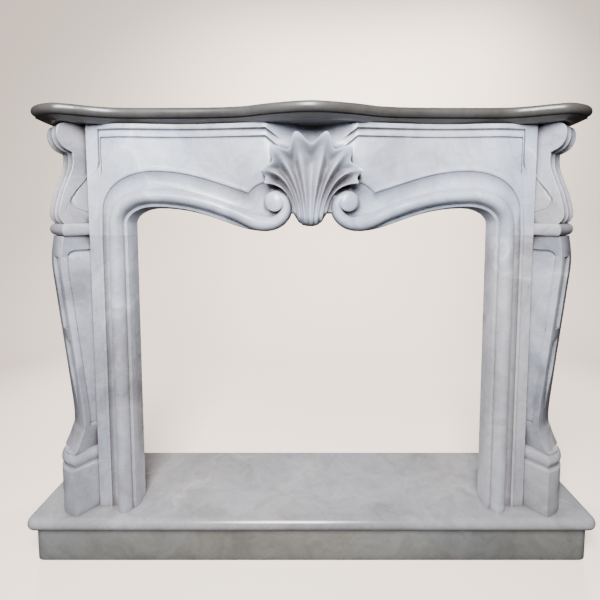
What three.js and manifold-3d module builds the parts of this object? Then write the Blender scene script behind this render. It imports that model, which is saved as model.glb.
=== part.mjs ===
// A carved marble fireplace mantel on its hearth: riser, slab, two moulded jambs, two canted legs, two scroll
// consoles, a frieze with an arched opening, volutes and a scallop shell, and a serpentine shelf.
// Millimetres. X runs to the viewer's right, the front faces -Y, Z is up and the floor is Z = 0.
// The origin is the middle of the riser's underside.
import * as THREE from 'three';
import { mergeVertices } from 'three/addons/utils/BufferGeometryUtils.js';
import Module from 'manifold-3d';

const wasm = await Module();
wasm.setup();

// Joint left between two pieces that touch
const JOINT = 0.3;

// Hearth
const RISER_DEPTH = 324;
const RISER_HEIGHT = 90;
const RISER_ARRIS = 3;
const SLAB_THICKNESS = 36;
const HEARTH_MARGIN = 56;
const SLAB_SIDE_OVERHANG = 18;
const SLAB_FRONT_OVERHANG = 15;
const HEARTH_CORNER_RADIUS = 28;

// Opening and jambs
const OPENING_WIDTH = 1000;
const JAMB_HEIGHT = 784;
const JAMB_WIDTH = 113;
const JAMB_THICKNESS = 50;
const STILE_SETBACK = 65;
const RETURN_BEVEL_DEPTH = 22;
const RETURN_BEVEL_WIDTH = 5;
const FILLET_PROUD = 8;
const ROLL_START = 13;
const ROLL_PEAK = 32;
const ROLL_END = 60;
const ROLL_PROUD = 33;
const HOLLOW_DEPTH = 2;
const BEAD_OFFSET = 80;
const BEAD_WIDTH = 8;
const BEAD_PROUD = 4;

// Frieze
const FRIEZE_HEIGHT = 301;
const ARCH_SPRING = 30;
const ARCH_CORNER_WIDTH = 73;
const ARCH_CORNER_RISE = 45;
const ARCH_LOW_POINT = 128;
const ARCH_LOW_RISE = 12;
const BEAD_SPRING = 65;
const BEAD_SPRING_INSET = 3;
const BEAD_CROWN_X = 424;
const BEAD_CROWN_RISE = 180;
const BEAD_POINT_X = 172;
const BEAD_POINT_RISE = 120;
const BEAD_TURN_X = 130;
const BEAD_TURN_RISE = 147;
const RIM_WIDTH = 11;
const BORDER_WIDTH = 30;
const SIDE_BORDER_WIDTH = 10;
const SIDE_BORDER_INSET = 9;
const BORDER_STEP = 5;
const BORDER_LINE_STEP = 3;
const BORDER_TURN_X = 122;
const BOW_CENTRE = 34;
const BOW_CENTRE_X = 60;
const BOW_FLANK = 3;
const BOW_FLANK_X = 360;
const BOW_END = 15;
const BOW_END_X = 530;
const BOW_RISE = 190;
const SCOOP_DEPTH = 66;
const SCOOP_WIDTH = 165;
const SCOOP_HEIGHT = 90;

// Volutes
const VOLUTE_X = 97;
const VOLUTE_RISE = 90;
const EYE_RADIUS = 24;
const EYE_PROUD = 40;
const EYE_DOME = 12;
const EYE_SIDES = 16;
const ROLL_ROOT = 20;
const VOLUTE_ENTRY_RADIUS = 83.5;
const VOLUTE_ENTRY_ANGLE = -68;
const VOLUTE_SWEEP = 345;
const COIL_RADIUS = 33;
const VOLUTE_TIGHTEN = 0.0057;
const VOLUTE_STEPS = 15;
const VOLUTE_WIDTH = 44;
const VOLUTE_TAIL_WIDTH = 14;

// Shell
const SHELL_FLUTES = 7;
const FLUTE_COLUMNS = 4;
const SHELL_ROWS = 10;
const SHELL_BASE_WIDTH = 88;
const SHELL_BASE_ROUND = 32;
const SHELL_BASE_RISE = 26;
const SHELL_BASE_SHIFT = -4;
const SHELL_CROWN_HALF = 40;
const SHELL_CROWN_RISE = 268;
const SHELL_SHOULDER_HALF = 103;
const SHELL_SHOULDER_RISE = 232;
const SHELL_FLANK_HALF = 131;
const SHELL_FLANK_RISE = 169;
const SHELL_LEAF_HALF = 119;
const SHELL_LEAF_RISE = 138;
const SHELL_PROUD = 64;
const SHELL_RIM_CURL = 20;
const FLUTE_DEPTH_BASE = 5;
const FLUTE_DEPTH_RIM = 26;
const SCALLOP = 0.115;
const SHELL_ROOT = 15;

// Canted legs and consoles: reach is measured out from the seam along the canted diagonal
const CANT_WIDTH = 88;
const CANT_BACK = 30;
const RETURN_THICKNESS = 42;
const RETURN_INSET = 3;
const FOOT_REACH = 66;
const FOOT_BULGE = 13;
const FOOT_SIDE_PROUD = 4;
const FOOT_HEIGHT = 132;
const FOOT_GROOVE = 8;
const FOOT_TORUS = 30;
const FOOT_FILLET = 8;
const ANKLE_REACH = 33;
const ANKLE_HEIGHT = 264;
const KNEE_REACH = 73.5;
const KNEE_HEIGHT = 715;
const LEG_TOP_REACH = 66;
const LEG_PANEL_TOP = 747;
const LEG_PANEL_BOTTOM = 246;
const LEG_PANEL_MARGIN = 16;
const PANEL_DEPTH = 4;
const STRIP_TOP = 728;
const STRIP_BOTTOM = 290;
const STRIP_HALF_WIDTH = 22;
const STRIP_DEPTH = 5;
const RING_HEIGHT = 34;
const RING_REACH = 57;
const RING_PROUD = 14;
const BELLY_REACH = 72.5;
const BELLY_HEIGHT = 66;
const NECK_REACH = 34;
const NECK_HEIGHT = 224;
const SCROLL_REACH = 71;
const SCROLL_HEIGHT = 272;
const COVE_DEPTH = 6;
const EDGE_FILLET = 8;

// Shelf: half of the front edge's plan, measured forward of the hearth slab's front edge
const SHELF_THICKNESS = 41;
const SHELF_WIDTH = 1482;
const SHELF_LIP_CUT = 62;
const SHELF_TIP_BACK = 36;
const SHELF_NOSE_X = 655;
const SHELF_NOSE_FORWARD = 15;
const SHELF_FLANK_BACK = 40;
const SHELF_BOW_X = 182;
const SHELF_BOW_FORWARD = 39;
const SHELF_BULLNOSE = 28;
const SHELF_QUIRK = 9;
const SHELF_LIP_INSET = 6;

// Levels and planes that follow from the sizes
const WALL_Y = RISER_DEPTH / 2;
const SLAB_FRONT_Y = -RISER_DEPTH / 2 - SLAB_FRONT_OVERHANG;
const STILE_Y = SLAB_FRONT_Y + STILE_SETBACK;
const SLAB_TOP = RISER_HEIGHT + SLAB_THICKNESS;
const JOINT_Z = SLAB_TOP + JAMB_HEIGHT;
const FRIEZE_TOP = JOINT_Z + FRIEZE_HEIGHT;
const SHELF_TOP = FRIEZE_TOP + SHELF_THICKNESS;
const OPENING_HALF = OPENING_WIDTH / 2;
const SEAM_X = OPENING_HALF + JAMB_WIDTH;
const CANT = Math.SQRT1_2;
const RISER_HALF = SEAM_X + CANT * (CANT_WIDTH + FOOT_REACH) + HEARTH_MARGIN;

const lerp = THREE.MathUtils.lerp;
const clamp = THREE.MathUtils.clamp;
const degrees = THREE.MathUtils.degToRad;
const smooth = (value, from, to) => THREE.MathUtils.smoothstep(value, from, to);
const steps = (count) => Array.from({ length: count + 1 }, (_, i) => i / count);

// A closed solid through a row of closed loops with the same number of points, capped at both ends.
function loft(loops) {
  const size = loops[0].length;
  const positions = loops.flat().flatMap((p) => [p.x, p.y, p.z]);
  const indices = [];
  for (let i = 0; i + 1 < loops.length; i += 1) {
    for (let j = 0; j < size; j += 1) {
      const k = (j + 1) % size;
      const a = i * size + j;
      const b = i * size + k;
      indices.push(a, b, b + size, a, b + size, a + size);
    }
  }
  const cap = (loop, first, flip) => {
    const outline = flatten(loop);
    for (const [a, b, c] of THREE.ShapeUtils.triangulateShape(outline, [])) {
      indices.push(first + a, first + (flip ? c : b), first + (flip ? b : c));
    }
  };
  cap(loops[0], 0, true);
  cap(loops.at(-1), (loops.length - 1) * size, false);
  const geometry = new THREE.BufferGeometry();
  geometry.setAttribute('position', new THREE.Float32BufferAttribute(positions, 3));
  geometry.setIndex(indices);
  return toSolid(geometry);
}

// A flat loop's points in its own plane, turning counter-clockwise.
function flatten(loop) {
  const normal = new THREE.Vector3();
  loop.forEach((p, i) => normal.add(p.clone().cross(loop[(i + 1) % loop.length])));
  normal.normalize();
  const lean = Math.abs(normal.z) < 0.9 ? new THREE.Vector3(0, 0, 1) : new THREE.Vector3(1, 0, 0);
  const across = lean.cross(normal).normalize();
  const up = normal.clone().cross(across);
  return loop.map((p) => new THREE.Vector2(p.dot(across), p.dot(up)));
}

function toSolid(source) {
  const bare = source.clone();
  bare.deleteAttribute('normal');
  bare.deleteAttribute('uv');
  const merged = mergeVertices(bare, 1e-4);
  const vertProperties = Float32Array.from(merged.getAttribute('position').array);
  let triVerts = Uint32Array.from(merged.getIndex().array);
  if (signedVolume(vertProperties, triVerts) < 0) {
    triVerts = triVerts.map((_, i, all) => all[i - (i % 3) + 2 - (i % 3)]);
  }
  return new wasm.Manifold(new wasm.Mesh({ numProp: 3, vertProperties, triVerts }));
}

function signedVolume(positions, triangles) {
  const corner = (i) => new THREE.Vector3().fromArray(positions, triangles[i] * 3);
  let volume = 0;
  for (let i = 0; i < triangles.length; i += 3) {
    volume += corner(i).dot(corner(i + 1).cross(corner(i + 2)));
  }
  return volume / 6;
}

function toGeometry(solid, side) {
  const mesh = solid.getMesh();
  const positions = mesh.vertProperties.map((value, i) => (i % 3 === 0 ? side * value : value));
  const corners = Array.from(mesh.triVerts);
  const geometry = new THREE.BufferGeometry();
  geometry.setAttribute('position', new THREE.Float32BufferAttribute(positions, 3));
  geometry.setIndex(side > 0 ? corners : corners.reverse());
  geometry.computeVertexNormals();
  return geometry;
}

// Rings of a plan outline stacked in Z: planAt(inset, z) gives the outline, layers holds [z, inset].
function stack(planAt, layers) {
  return loft(layers.map(([z, inset]) => planAt(inset, z).map(([x, y]) => new THREE.Vector3(x, y, z))));
}

function box(x0, x1, y0, y1, z0, z1) {
  const geometry = new THREE.BoxGeometry(x1 - x0, y1 - y0, z1 - z0);
  geometry.translate((x0 + x1) / 2, (y0 + y1) / 2, (z0 + z1) / 2);
  return toSolid(geometry);
}

// Hearth: a rectangle with rounded front corners, inset at the front and the two sides.
function hearthPlan(halfWidth, frontY, inset) {
  const side = halfWidth - inset;
  const front = frontY + inset;
  const radius = Math.max(HEARTH_CORNER_RADIUS - inset, 1);
  const corner = steps(6).map((t) => {
    const angle = degrees(-90 * t);
    return [side - radius + radius * Math.cos(angle), front + radius + radius * Math.sin(angle)];
  });
  const right = [[side, WALL_Y], ...corner];
  return [...right, ...right.map(([x, y]) => [-x, y]).reverse()];
}

function makeRiser() {
  const plan = (inset) => hearthPlan(RISER_HALF, -RISER_DEPTH / 2, inset);
  return stack(plan, [[0, 0], [RISER_HEIGHT - RISER_ARRIS, 0], [RISER_HEIGHT, RISER_ARRIS]]);
}

function makeSlab() {
  const plan = (inset) => hearthPlan(RISER_HALF + SLAB_SIDE_OVERHANG, SLAB_FRONT_Y, inset);
  const bottom = RISER_HEIGHT + JOINT;
  const radius = (SLAB_TOP - bottom) / 2;
  const nose = steps(7).map((t) => {
    const angle = degrees(-90 + 180 * t);
    return [bottom + radius + radius * Math.sin(angle), radius * (1 - Math.cos(angle)) + 0.01];
  });
  return stack(plan, nose);
}

// Jamb moulding: [distance from the opening, how far it stands in front of the stile], without the roll.
function mouldingBase(beadAt, rollEnd = ROLL_END) {
  const hollowStart = rollEnd + 3;
  const hollowEnd = beadAt - BEAD_WIDTH / 2 - 1.5;
  return [
    [0, FILLET_PROUD - RETURN_BEVEL_DEPTH],
    [RETURN_BEVEL_WIDTH, FILLET_PROUD],
    [ROLL_START, FILLET_PROUD],
    [rollEnd, FILLET_PROUD],
    [hollowStart, FILLET_PROUD - 2],
    [lerp(hollowStart, hollowEnd, 0.45), 1],
    [hollowEnd, -HOLLOW_DEPTH],
    [beadAt - BEAD_WIDTH / 2, BEAD_PROUD - 1],
    [beadAt, BEAD_PROUD],
    [beadAt + BEAD_WIDTH / 2, BEAD_PROUD - 1],
    [beadAt + BEAD_WIDTH / 2 + 1, 0],
  ];
}

// The roll's rounded face, from its inner to its outer edge, in shares of its own widths and height.
function rollFace(count) {
  return steps(count).map((t) => {
    const angle = Math.PI * t;
    return [-Math.cos(angle), Math.sin(angle) ** 0.85];
  });
}

function rollPoint([across, up], inner, peak, outer, foot, crown) {
  const width = across < 0 ? peak - inner : outer - peak;
  return [peak + across * width, lerp(foot, crown, up)];
}

function makeJamb() {
  const moulding = mouldingBase(BEAD_OFFSET);
  const roll = rollFace(10).map((p) => rollPoint(p, ROLL_START, ROLL_PEAK, ROLL_END, FILLET_PROUD, ROLL_PROUD));
  const section = [
    [0, -JAMB_THICKNESS],
    ...moulding.slice(0, 2),
    ...roll,
    ...moulding.slice(4),
    [JAMB_WIDTH - JOINT / 2, 0],
    [JAMB_WIDTH - JOINT / 2, -JAMB_THICKNESS],
  ];
  const plan = () => section.map(([e, h]) => [OPENING_HALF + e, STILE_Y - h]);
  return stack(plan, [[SLAB_TOP + JOINT, 0], [JOINT_Z - JOINT / 2, 0]]);
}

// Frieze curves, for the right half, as points [x, z].
function openingCurve() {
  const spring = JOINT_Z + ARCH_SPRING;
  const crown = new THREE.Vector2(OPENING_HALF - ARCH_CORNER_WIDTH, spring + ARCH_CORNER_RISE);
  const low = new THREE.Vector2(ARCH_LOW_POINT, JOINT_Z + ARCH_LOW_RISE);
  const reach = crown.x - low.x;
  const ogee = new THREE.CubicBezierCurve(
    crown,
    new THREE.Vector2(crown.x - reach * 0.5, crown.y),
    new THREE.Vector2(low.x + reach * 0.3, low.y),
    low,
  );
  const wrapWidth = low.x - SHELL_BASE_WIDTH * 0.75;
  const wrapHeight = 48;
  return {
    jamb: (t) => [OPENING_HALF, lerp(JOINT_Z + JOINT / 2, spring, t)],
    corner: (t) => [
      OPENING_HALF - ARCH_CORNER_WIDTH * (1 - Math.cos(t * Math.PI / 2)),
      spring + ARCH_CORNER_RISE * Math.sin(t * Math.PI / 2),
    ],
    arch: (t) => ogee.getPoint(t).toArray(),
    wrap: (t) => [
      low.x - wrapWidth * Math.sin(t * Math.PI / 2),
      low.y + wrapHeight * (1 - Math.cos(t * Math.PI / 2)),
    ],
    centre: (t) => [lerp(low.x - wrapWidth, 0, t), low.y + wrapHeight],
  };
}

function beadCurve() {
  const line = OPENING_HALF + BEAD_OFFSET;
  const spring = JOINT_Z + BEAD_SPRING;
  const crown = new THREE.Vector2(BEAD_CROWN_X, JOINT_Z + BEAD_CROWN_RISE);
  const point = new THREE.Vector2(BEAD_POINT_X, JOINT_Z + BEAD_POINT_RISE);
  const turn = new THREE.Vector2(BEAD_TURN_X, JOINT_Z + BEAD_TURN_RISE);
  const fall = new THREE.CubicBezierCurve(
    crown,
    new THREE.Vector2(lerp(crown.x, point.x, 0.35), crown.y),
    new THREE.Vector2(lerp(crown.x, point.x, 0.65), lerp(crown.y, point.y, 0.54)),
    point,
  );
  const rise = new THREE.QuadraticBezierCurve(
    point,
    new THREE.Vector2(lerp(point.x, turn.x, 0.5), lerp(point.y, turn.y, 0.85)),
    turn,
  );
  return {
    jamb: (t) => [line - BEAD_SPRING_INSET * t, lerp(JOINT_Z + JOINT / 2, spring, t)],
    corner: (t) => [
      lerp(crown.x, line - BEAD_SPRING_INSET, Math.cos(t * Math.PI / 2)),
      lerp(spring, crown.y, Math.sin(t * Math.PI / 2)),
    ],
    arch: (t) => fall.getPoint(t).toArray(),
    wrap: (t) => rise.getPoint(t).toArray(),
    centre: (t) => [lerp(turn.x, 0, t), turn.y],
  };
}

// Where a ray crosses the panel's border and the frieze's edge: on the side up to the corner, then on the top.
function borderAt(zone, t, bead) {
  const top = FRIEZE_TOP - JOINT / 2;
  const seam = SEAM_X - JOINT / 2;
  const innerX = OPENING_HALF + BEAD_OFFSET - SIDE_BORDER_INSET;
  const spread = smooth(OPENING_HALF + BEAD_OFFSET - bead[0], BEAD_SPRING_INSET, BEAD_SPRING_INSET + 22);
  const sideIn = Math.max(innerX, bead[0] + BEAD_WIDTH);
  const sideOut = sideIn + lerp((seam - sideIn) * 0.5, SIDE_BORDER_WIDTH, spread);
  const panelTop = top - RIM_WIDTH - BORDER_WIDTH;
  const rimLow = top - RIM_WIDTH;
  if (zone === 'jamb') {
    return { inner: [sideIn, bead[1]], outer: [sideOut, bead[1]], edge: [seam, bead[1]], cut: 0, rimCut: 0 };
  }
  if (zone === 'corner' && t <= 0.5) {
    const share = t * 2;
    const from = JOINT_Z + BEAD_SPRING;
    return {
      inner: [sideIn, lerp(from, panelTop, share)],
      outer: [sideOut, lerp(from, rimLow, share)],
      edge: [seam, lerp(from, top, share)],
      cut: spread,
      rimCut: spread * smooth(share, 0.8, 1),
    };
  }
  if (zone === 'corner') {
    const share = t * 2 - 1;
    return {
      inner: [lerp(innerX, BEAD_CROWN_X, share), panelTop],
      outer: [lerp(innerX + SIDE_BORDER_WIDTH, BEAD_CROWN_X, share), rimLow],
      edge: [lerp(seam, BEAD_CROWN_X, share), top],
      cut: 1,
      rimCut: 1,
    };
  }
  const spans = {
    arch: [BEAD_CROWN_X, BEAD_POINT_X],
    wrap: [BEAD_POINT_X, BORDER_TURN_X],
    centre: [BORDER_TURN_X, 0],
  };
  const x = lerp(...spans[zone], t);
  const turned = Math.max(0, BORDER_TURN_X - x);
  const fade = 1 - smooth(turned, 15, 45);
  return {
    inner: [x, panelTop - turned * 0.85],
    outer: [x, rimLow - turned * 0.75],
    edge: [x, top],
    cut: fade,
    rimCut: fade,
  };
}

function rayPoints(zone, t, opening, beads) {
  const start = opening[zone](t);
  const bead = beads[zone](t);
  const border = borderAt(zone, t, bead);
  const distance = Math.hypot(bead[0] - start[0], bead[1] - start[1]);
  const along = (e) => [lerp(start[0], bead[0], e / distance), lerp(start[1], bead[1], e / distance)];
  const front = mouldingBase(distance).slice(0, 9).map(([e, h]) => [...along(e), h]);
  const between = (p, q, share) => [lerp(p[0], q[0], share), lerp(p[1], q[1], share)];
  const gap = Math.hypot(border.inner[0] - bead[0], border.inner[1] - bead[1]);
  const edgeShare = BEAD_WIDTH / 2 / gap;
  front.push([...between(bead, border.inner, edgeShare), BEAD_PROUD - 1]);
  front.push([...between(bead, border.inner, edgeShare + 1.2 / gap), 0]);
  for (const share of [0.27, 0.5, 0.75]) {
    front.push([...between(bead, border.inner, lerp(edgeShare + 1.2 / gap, 1, share)), 0]);
  }
  front.push([...border.inner, 0]);
  front.push([...between(border.inner, border.outer, 0.3), -BORDER_LINE_STEP * border.cut]);
  front.push([...between(border.inner, border.outer, 0.34), 0]);
  front.push([...between(border.inner, border.outer, 0.9), -BORDER_STEP * border.rimCut]);
  front.push([...border.outer, 0]);
  front.push([...border.edge, 0]);
  return [
    [...start, -JAMB_THICKNESS],
    ...front,
    [...border.edge, -JAMB_THICKNESS],
  ];
}

const FRIEZE_ZONES = [['jamb', 1], ['corner', 8], ['arch', 9], ['wrap', 3], ['centre', 3]];

function friezeRays() {
  const opening = openingCurve();
  const beads = beadCurve();
  const rays = [];
  for (const [zone, count] of FRIEZE_ZONES) {
    for (const t of steps(count).slice(rays.length ? 1 : 0)) {
      rays.push(rayPoints(zone, t, opening, beads));
    }
  }
  return rays;
}

// How far the frieze's face bows forward in plan.
function bowAt(x) {
  if (x < BOW_FLANK_X) {
    return lerp(BOW_CENTRE, BOW_FLANK, smooth(x, BOW_CENTRE_X, BOW_FLANK_X));
  }
  return lerp(lerp(BOW_FLANK, BOW_END, smooth(x, BOW_FLANK_X, BOW_END_X)), 0, smooth(x, BOW_END_X, SEAM_X));
}

// A point on the frieze, h in front of the stile: the face bows, and is scooped behind the top of the shell.
function friezePoint(x, z, h) {
  const wide = Math.abs(x);
  const hold = 1 - clamp(-h / JAMB_THICKNESS, 0, 1);
  const high = smooth(z, JOINT_Z, JOINT_Z + BOW_RISE) * smooth(SEAM_X - wide, 0, JAMB_WIDTH);
  const centred = 1 - smooth(wide, BOW_CENTRE_X, BOW_FLANK_X);
  const nearTop = smooth(z, FRIEZE_TOP - SCOOP_HEIGHT, FRIEZE_TOP);
  const scoop = SCOOP_DEPTH * (1 - smooth(wide, 0, SCOOP_WIDTH)) * nearTop;
  return new THREE.Vector3(x, STILE_Y - h + hold * (scoop - bowAt(wide) * Math.max(high, centred)), z);
}

function friezeBody() {
  const right = friezeRays();
  const left = right.slice(0, -1).map((ray) => ray.map(([x, z, h]) => [-x, z, h])).reverse();
  const loops = [...right, ...left].map((ray) => ray.map(([x, z, h]) => friezePoint(x, z, h)));
  return loft(loops);
}

// Stations of the roll: its foot line's [x, z], the direction across it, and its half widths and height.
function rollStations() {
  const opening = openingCurve();
  const path = [];
  for (const [zone, count] of [['jamb', 1], ['corner', 7], ['arch', 9]]) {
    for (const t of steps(count).slice(path.length ? 1 : 0)) {
      path.push({ point: opening[zone](t), near: zone === 'arch' ? smooth(t, 0.6, 1) : 0 });
    }
  }
  const stations = path.map(({ point, near }, i) => {
    const before = path[Math.max(i - 1, 0)].point;
    const after = path[Math.min(i + 1, path.length - 1)].point;
    const length = Math.hypot(after[0] - before[0], after[1] - before[1]);
    const normal = [(after[1] - before[1]) / length, -(after[0] - before[0]) / length];
    return {
      point,
      normal,
      inner: lerp(ROLL_START, 1, near),
      peak: lerp(ROLL_PEAK, VOLUTE_WIDTH * 0.48, near),
      outer: lerp(ROLL_END, VOLUTE_WIDTH, near),
      crown: ROLL_PROUD,
    };
  });
  const centre = [VOLUTE_X, JOINT_Z + VOLUTE_RISE];
  for (const t of steps(VOLUTE_STEPS).slice(1)) {
    const angle = degrees(VOLUTE_ENTRY_ANGLE - VOLUTE_SWEEP * t);
    const radius = Math.max(VOLUTE_ENTRY_RADIUS * Math.exp(-VOLUTE_TIGHTEN * VOLUTE_SWEEP * t), COIL_RADIUS);
    const outward = [Math.cos(angle), Math.sin(angle)];
    const width = lerp(VOLUTE_WIDTH, VOLUTE_TAIL_WIDTH, t);
    stations.push({
      point: [centre[0] + radius * outward[0], centre[1] + radius * outward[1]],
      normal: [-outward[0], -outward[1]],
      inner: 1,
      peak: width * 0.48,
      outer: width,
      crown: lerp(ROLL_PROUD, FILLET_PROUD, smooth(t, 0.75, 1)),
    });
  }
  return stations;
}

function makeRoll(side) {
  const loops = rollStations().map(({ point, normal, inner, peak, outer, crown }) => {
    const face = rollFace(6).map((p) => rollPoint(p, inner, peak, outer, 0, crown));
    const section = [...face, [outer - 1, -ROLL_ROOT], [inner + 1, -ROLL_ROOT]];
    return section.map(([e, h]) => friezePoint(side * (point[0] + normal[0] * e), point[1] + normal[1] * e, h));
  });
  return loft(loops);
}

// The volute's eye, a low dome turned about an axis that runs front to back.
function makeEye(side) {
  const profile = steps(5).map((t) => {
    const angle = t * Math.PI / 2;
    return [EYE_RADIUS * Math.sin(angle), EYE_PROUD - EYE_DOME * (1 - Math.cos(angle))];
  });
  const rings = [...profile.slice(1), [EYE_RADIUS, -ROLL_ROOT]];
  const loops = [[0.5, EYE_PROUD], ...rings].map(([radius, h]) => steps(EYE_SIDES).slice(1).map((t) => {
    const angle = degrees(360 * t);
    const x = VOLUTE_X + radius * Math.cos(angle);
    return friezePoint(side * x, JOINT_Z + VOLUTE_RISE + radius * Math.sin(angle), h);
  }));
  return loft(loops);
}

// Ridges of the shell, from the hinge to the tip, as cubic curves in [x, z]. Each tip holds its place and how the
// ridge gets there: how far it climbs upright, then how far out and up it is where it starts to flare.
function shellRidges() {
  const tips = [
    { x: SHELL_LEAF_HALF, rise: SHELL_LEAF_RISE, climb: 0.54, out: 0.33, up: 1.03 },
    { x: SHELL_FLANK_HALF, rise: SHELL_FLANK_RISE, climb: 0.5, out: 0.37, up: 1.1 },
    { x: SHELL_SHOULDER_HALF, rise: SHELL_SHOULDER_RISE, climb: 0.35, out: 0.3, up: 0.72 },
    { x: SHELL_CROWN_HALF, rise: SHELL_CROWN_RISE, climb: 0.3, out: 0.6, up: 0.68 },
  ];
  const left = tips.map((tip) => ({ ...tip, x: -tip.x }));
  return [...left, ...tips.reverse()].map(({ x, rise, climb, out, up }, i) => {
    const share = i / SHELL_FLUTES - 0.5;
    const foot = share * SHELL_BASE_WIDTH + SHELL_BASE_SHIFT;
    const base = SHELL_BASE_RISE + SHELL_BASE_ROUND * Math.abs(2 * share) ** 3;
    return new THREE.CubicBezierCurve(
      new THREE.Vector2(foot, JOINT_Z + base),
      new THREE.Vector2(lerp(foot, x, 0.03), JOINT_Z + lerp(base, rise, climb)),
      new THREE.Vector2(lerp(foot, x, out), JOINT_Z + lerp(base, rise, up)),
      new THREE.Vector2(x, JOINT_Z + rise),
    );
  });
}

function shellFront(along, across) {
  const under = 1 - (1 - clamp(along / 0.14, 0, 1)) ** 2;
  const body = lerp(22, SHELL_PROUD, Math.sqrt(Math.max(under, 0)));
  const curl = SHELL_RIM_CURL * smooth(along, 0.72, 1);
  const waistBack = 9 * smooth(along, 0.25, 0.7);
  const depth = lerp(FLUTE_DEPTH_BASE, FLUTE_DEPTH_RIM, smooth(along, 0.1, 0.95));
  return body + curl - waistBack - depth * Math.sin(Math.PI * across) ** 1.4;
}

function makeShell() {
  const ridges = shellRidges();
  const columns = SHELL_FLUTES * FLUTE_COLUMNS;
  const rows = SHELL_ROWS;
  const at = (column, row) => {
    const flute = Math.min(Math.floor(column / FLUTE_COLUMNS), SHELL_FLUTES - 1);
    const across = column / FLUTE_COLUMNS - flute;
    const along = (row / rows) * (1 - SCALLOP * Math.sin(Math.PI * across) ** 1.7);
    const left = ridges[flute].getPoint(along);
    const right = ridges[flute + 1].getPoint(along);
    return [lerp(left.x, right.x, across), lerp(left.y, right.y, across), shellFront(row / rows, across)];
  };
  const positions = [];
  const indices = [];
  for (let row = 0; row <= rows; row += 1) {
    for (let column = 0; column <= columns; column += 1) {
      const [x, z, h] = at(column, row);
      positions.push(x, STILE_Y - h, z);
    }
  }
  const stride = columns + 1;
  for (let row = 0; row < rows; row += 1) {
    for (let column = 0; column < columns; column += 1) {
      const a = row * stride + column;
      indices.push(a, a + 1, a + 1 + stride, a, a + 1 + stride, a + stride);
    }
  }
  const rim = [];
  for (let column = 0; column < columns; column += 1) {
    rim.push(column);
  }
  for (let row = 0; row < rows; row += 1) {
    rim.push(row * stride + columns);
  }
  for (let column = columns; column > 0; column -= 1) {
    rim.push(rows * stride + column);
  }
  for (let row = rows; row > 0; row -= 1) {
    rim.push(row * stride);
  }
  const first = positions.length / 3;
  for (const i of rim) {
    positions.push(positions[i * 3], STILE_Y + JAMB_THICKNESS - SHELL_ROOT, positions[i * 3 + 2]);
  }
  rim.forEach((i, k) => {
    const next = (k + 1) % rim.length;
    indices.push(rim[next], i, first + k, rim[next], first + k, first + next);
  });
  const outline = rim.map((i) => new THREE.Vector2(positions[i * 3], positions[i * 3 + 2]));
  for (const [a, b, c] of THREE.ShapeUtils.triangulateShape(outline, [])) {
    indices.push(first + a, first + c, first + b);
  }
  const geometry = new THREE.BufferGeometry();
  geometry.setAttribute('position', new THREE.Float32BufferAttribute(positions, 3));
  geometry.setIndex(indices);
  return toSolid(geometry);
}

function makeFrieze() {
  const carved = [-1, 1].flatMap((side) => [makeRoll(side), makeEye(side)]);
  const whole = [...carved, makeShell()].reduce((sum, part) => sum.add(part), friezeBody());
  const keep = box(-SEAM_X + JOINT / 2, SEAM_X - JOINT / 2, -2 * RISER_DEPTH, STILE_Y + JAMB_THICKNESS,
    JOINT_Z + JOINT / 2, FRIEZE_TOP - JOINT / 2);
  return whole.intersect(keep);
}

// Canted frame: reach runs out along the diagonal from the seam, across runs back along the canted face.
function canted(reach, across, z) {
  return new THREE.Vector3(SEAM_X + CANT * (reach + across), STILE_Y + CANT * (across - reach), z);
}

// The outline of a leg or console in [reach, z], drawn in by an inset measured square to its front curve.
function insetOutline(front, inset, low, high) {
  const moved = front.map((p, i) => {
    const before = front[Math.max(i - 1, 0)];
    const after = front[Math.min(i + 1, front.length - 1)];
    const length = Math.hypot(after[0] - before[0], after[1] - before[1]) || 1;
    const reach = p[0] - inset * (after[1] - before[1]) / length;
    return [reach, clamp(p[1] + inset * (after[0] - before[0]) / length, low, high)];
  });
  return [[-CANT_BACK, low], ...moved, [-CANT_BACK, high]];
}

// Stations across the canted face: fillet, cove, flat ridge, cove, fillet.
function coveStations() {
  const half = [
    [0, 0],
    [EDGE_FILLET, 0],
    [EDGE_FILLET + 2, COVE_DEPTH * 0.5],
    [lerp(EDGE_FILLET, CANT_WIDTH / 2, 0.4), COVE_DEPTH],
    [lerp(EDGE_FILLET, CANT_WIDTH / 2, 0.8), COVE_DEPTH * 0.35],
    [lerp(EDGE_FILLET, CANT_WIDTH / 2, 0.86), 0],
  ];
  return [...half, ...half.map(([across, inset]) => [CANT_WIDTH - across, inset]).reverse()];
}

function cantedSolid(front, stations, low, high) {
  const loops = stations.map(([across, inset]) => insetOutline(front, inset, low, high)
    .map(([reach, z]) => canted(reach, across, z)));
  return loft(loops);
}

// The plain return from a leg or console back to the wall.
function wallReturn(low, high) {
  const outer = SEAM_X + CANT * CANT_WIDTH - RETURN_INSET;
  const inner = outer - RETURN_THICKNESS;
  const front = STILE_Y + CANT * CANT_WIDTH - 2 * RETURN_INSET;
  return box(inner, outer, front, WALL_Y, low, high);
}

function outsideSeam(solid, low, high) {
  return solid.intersect(box(SEAM_X + JOINT / 2, SEAM_X + RISER_DEPTH, -RISER_DEPTH, WALL_Y, low, high));
}

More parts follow.
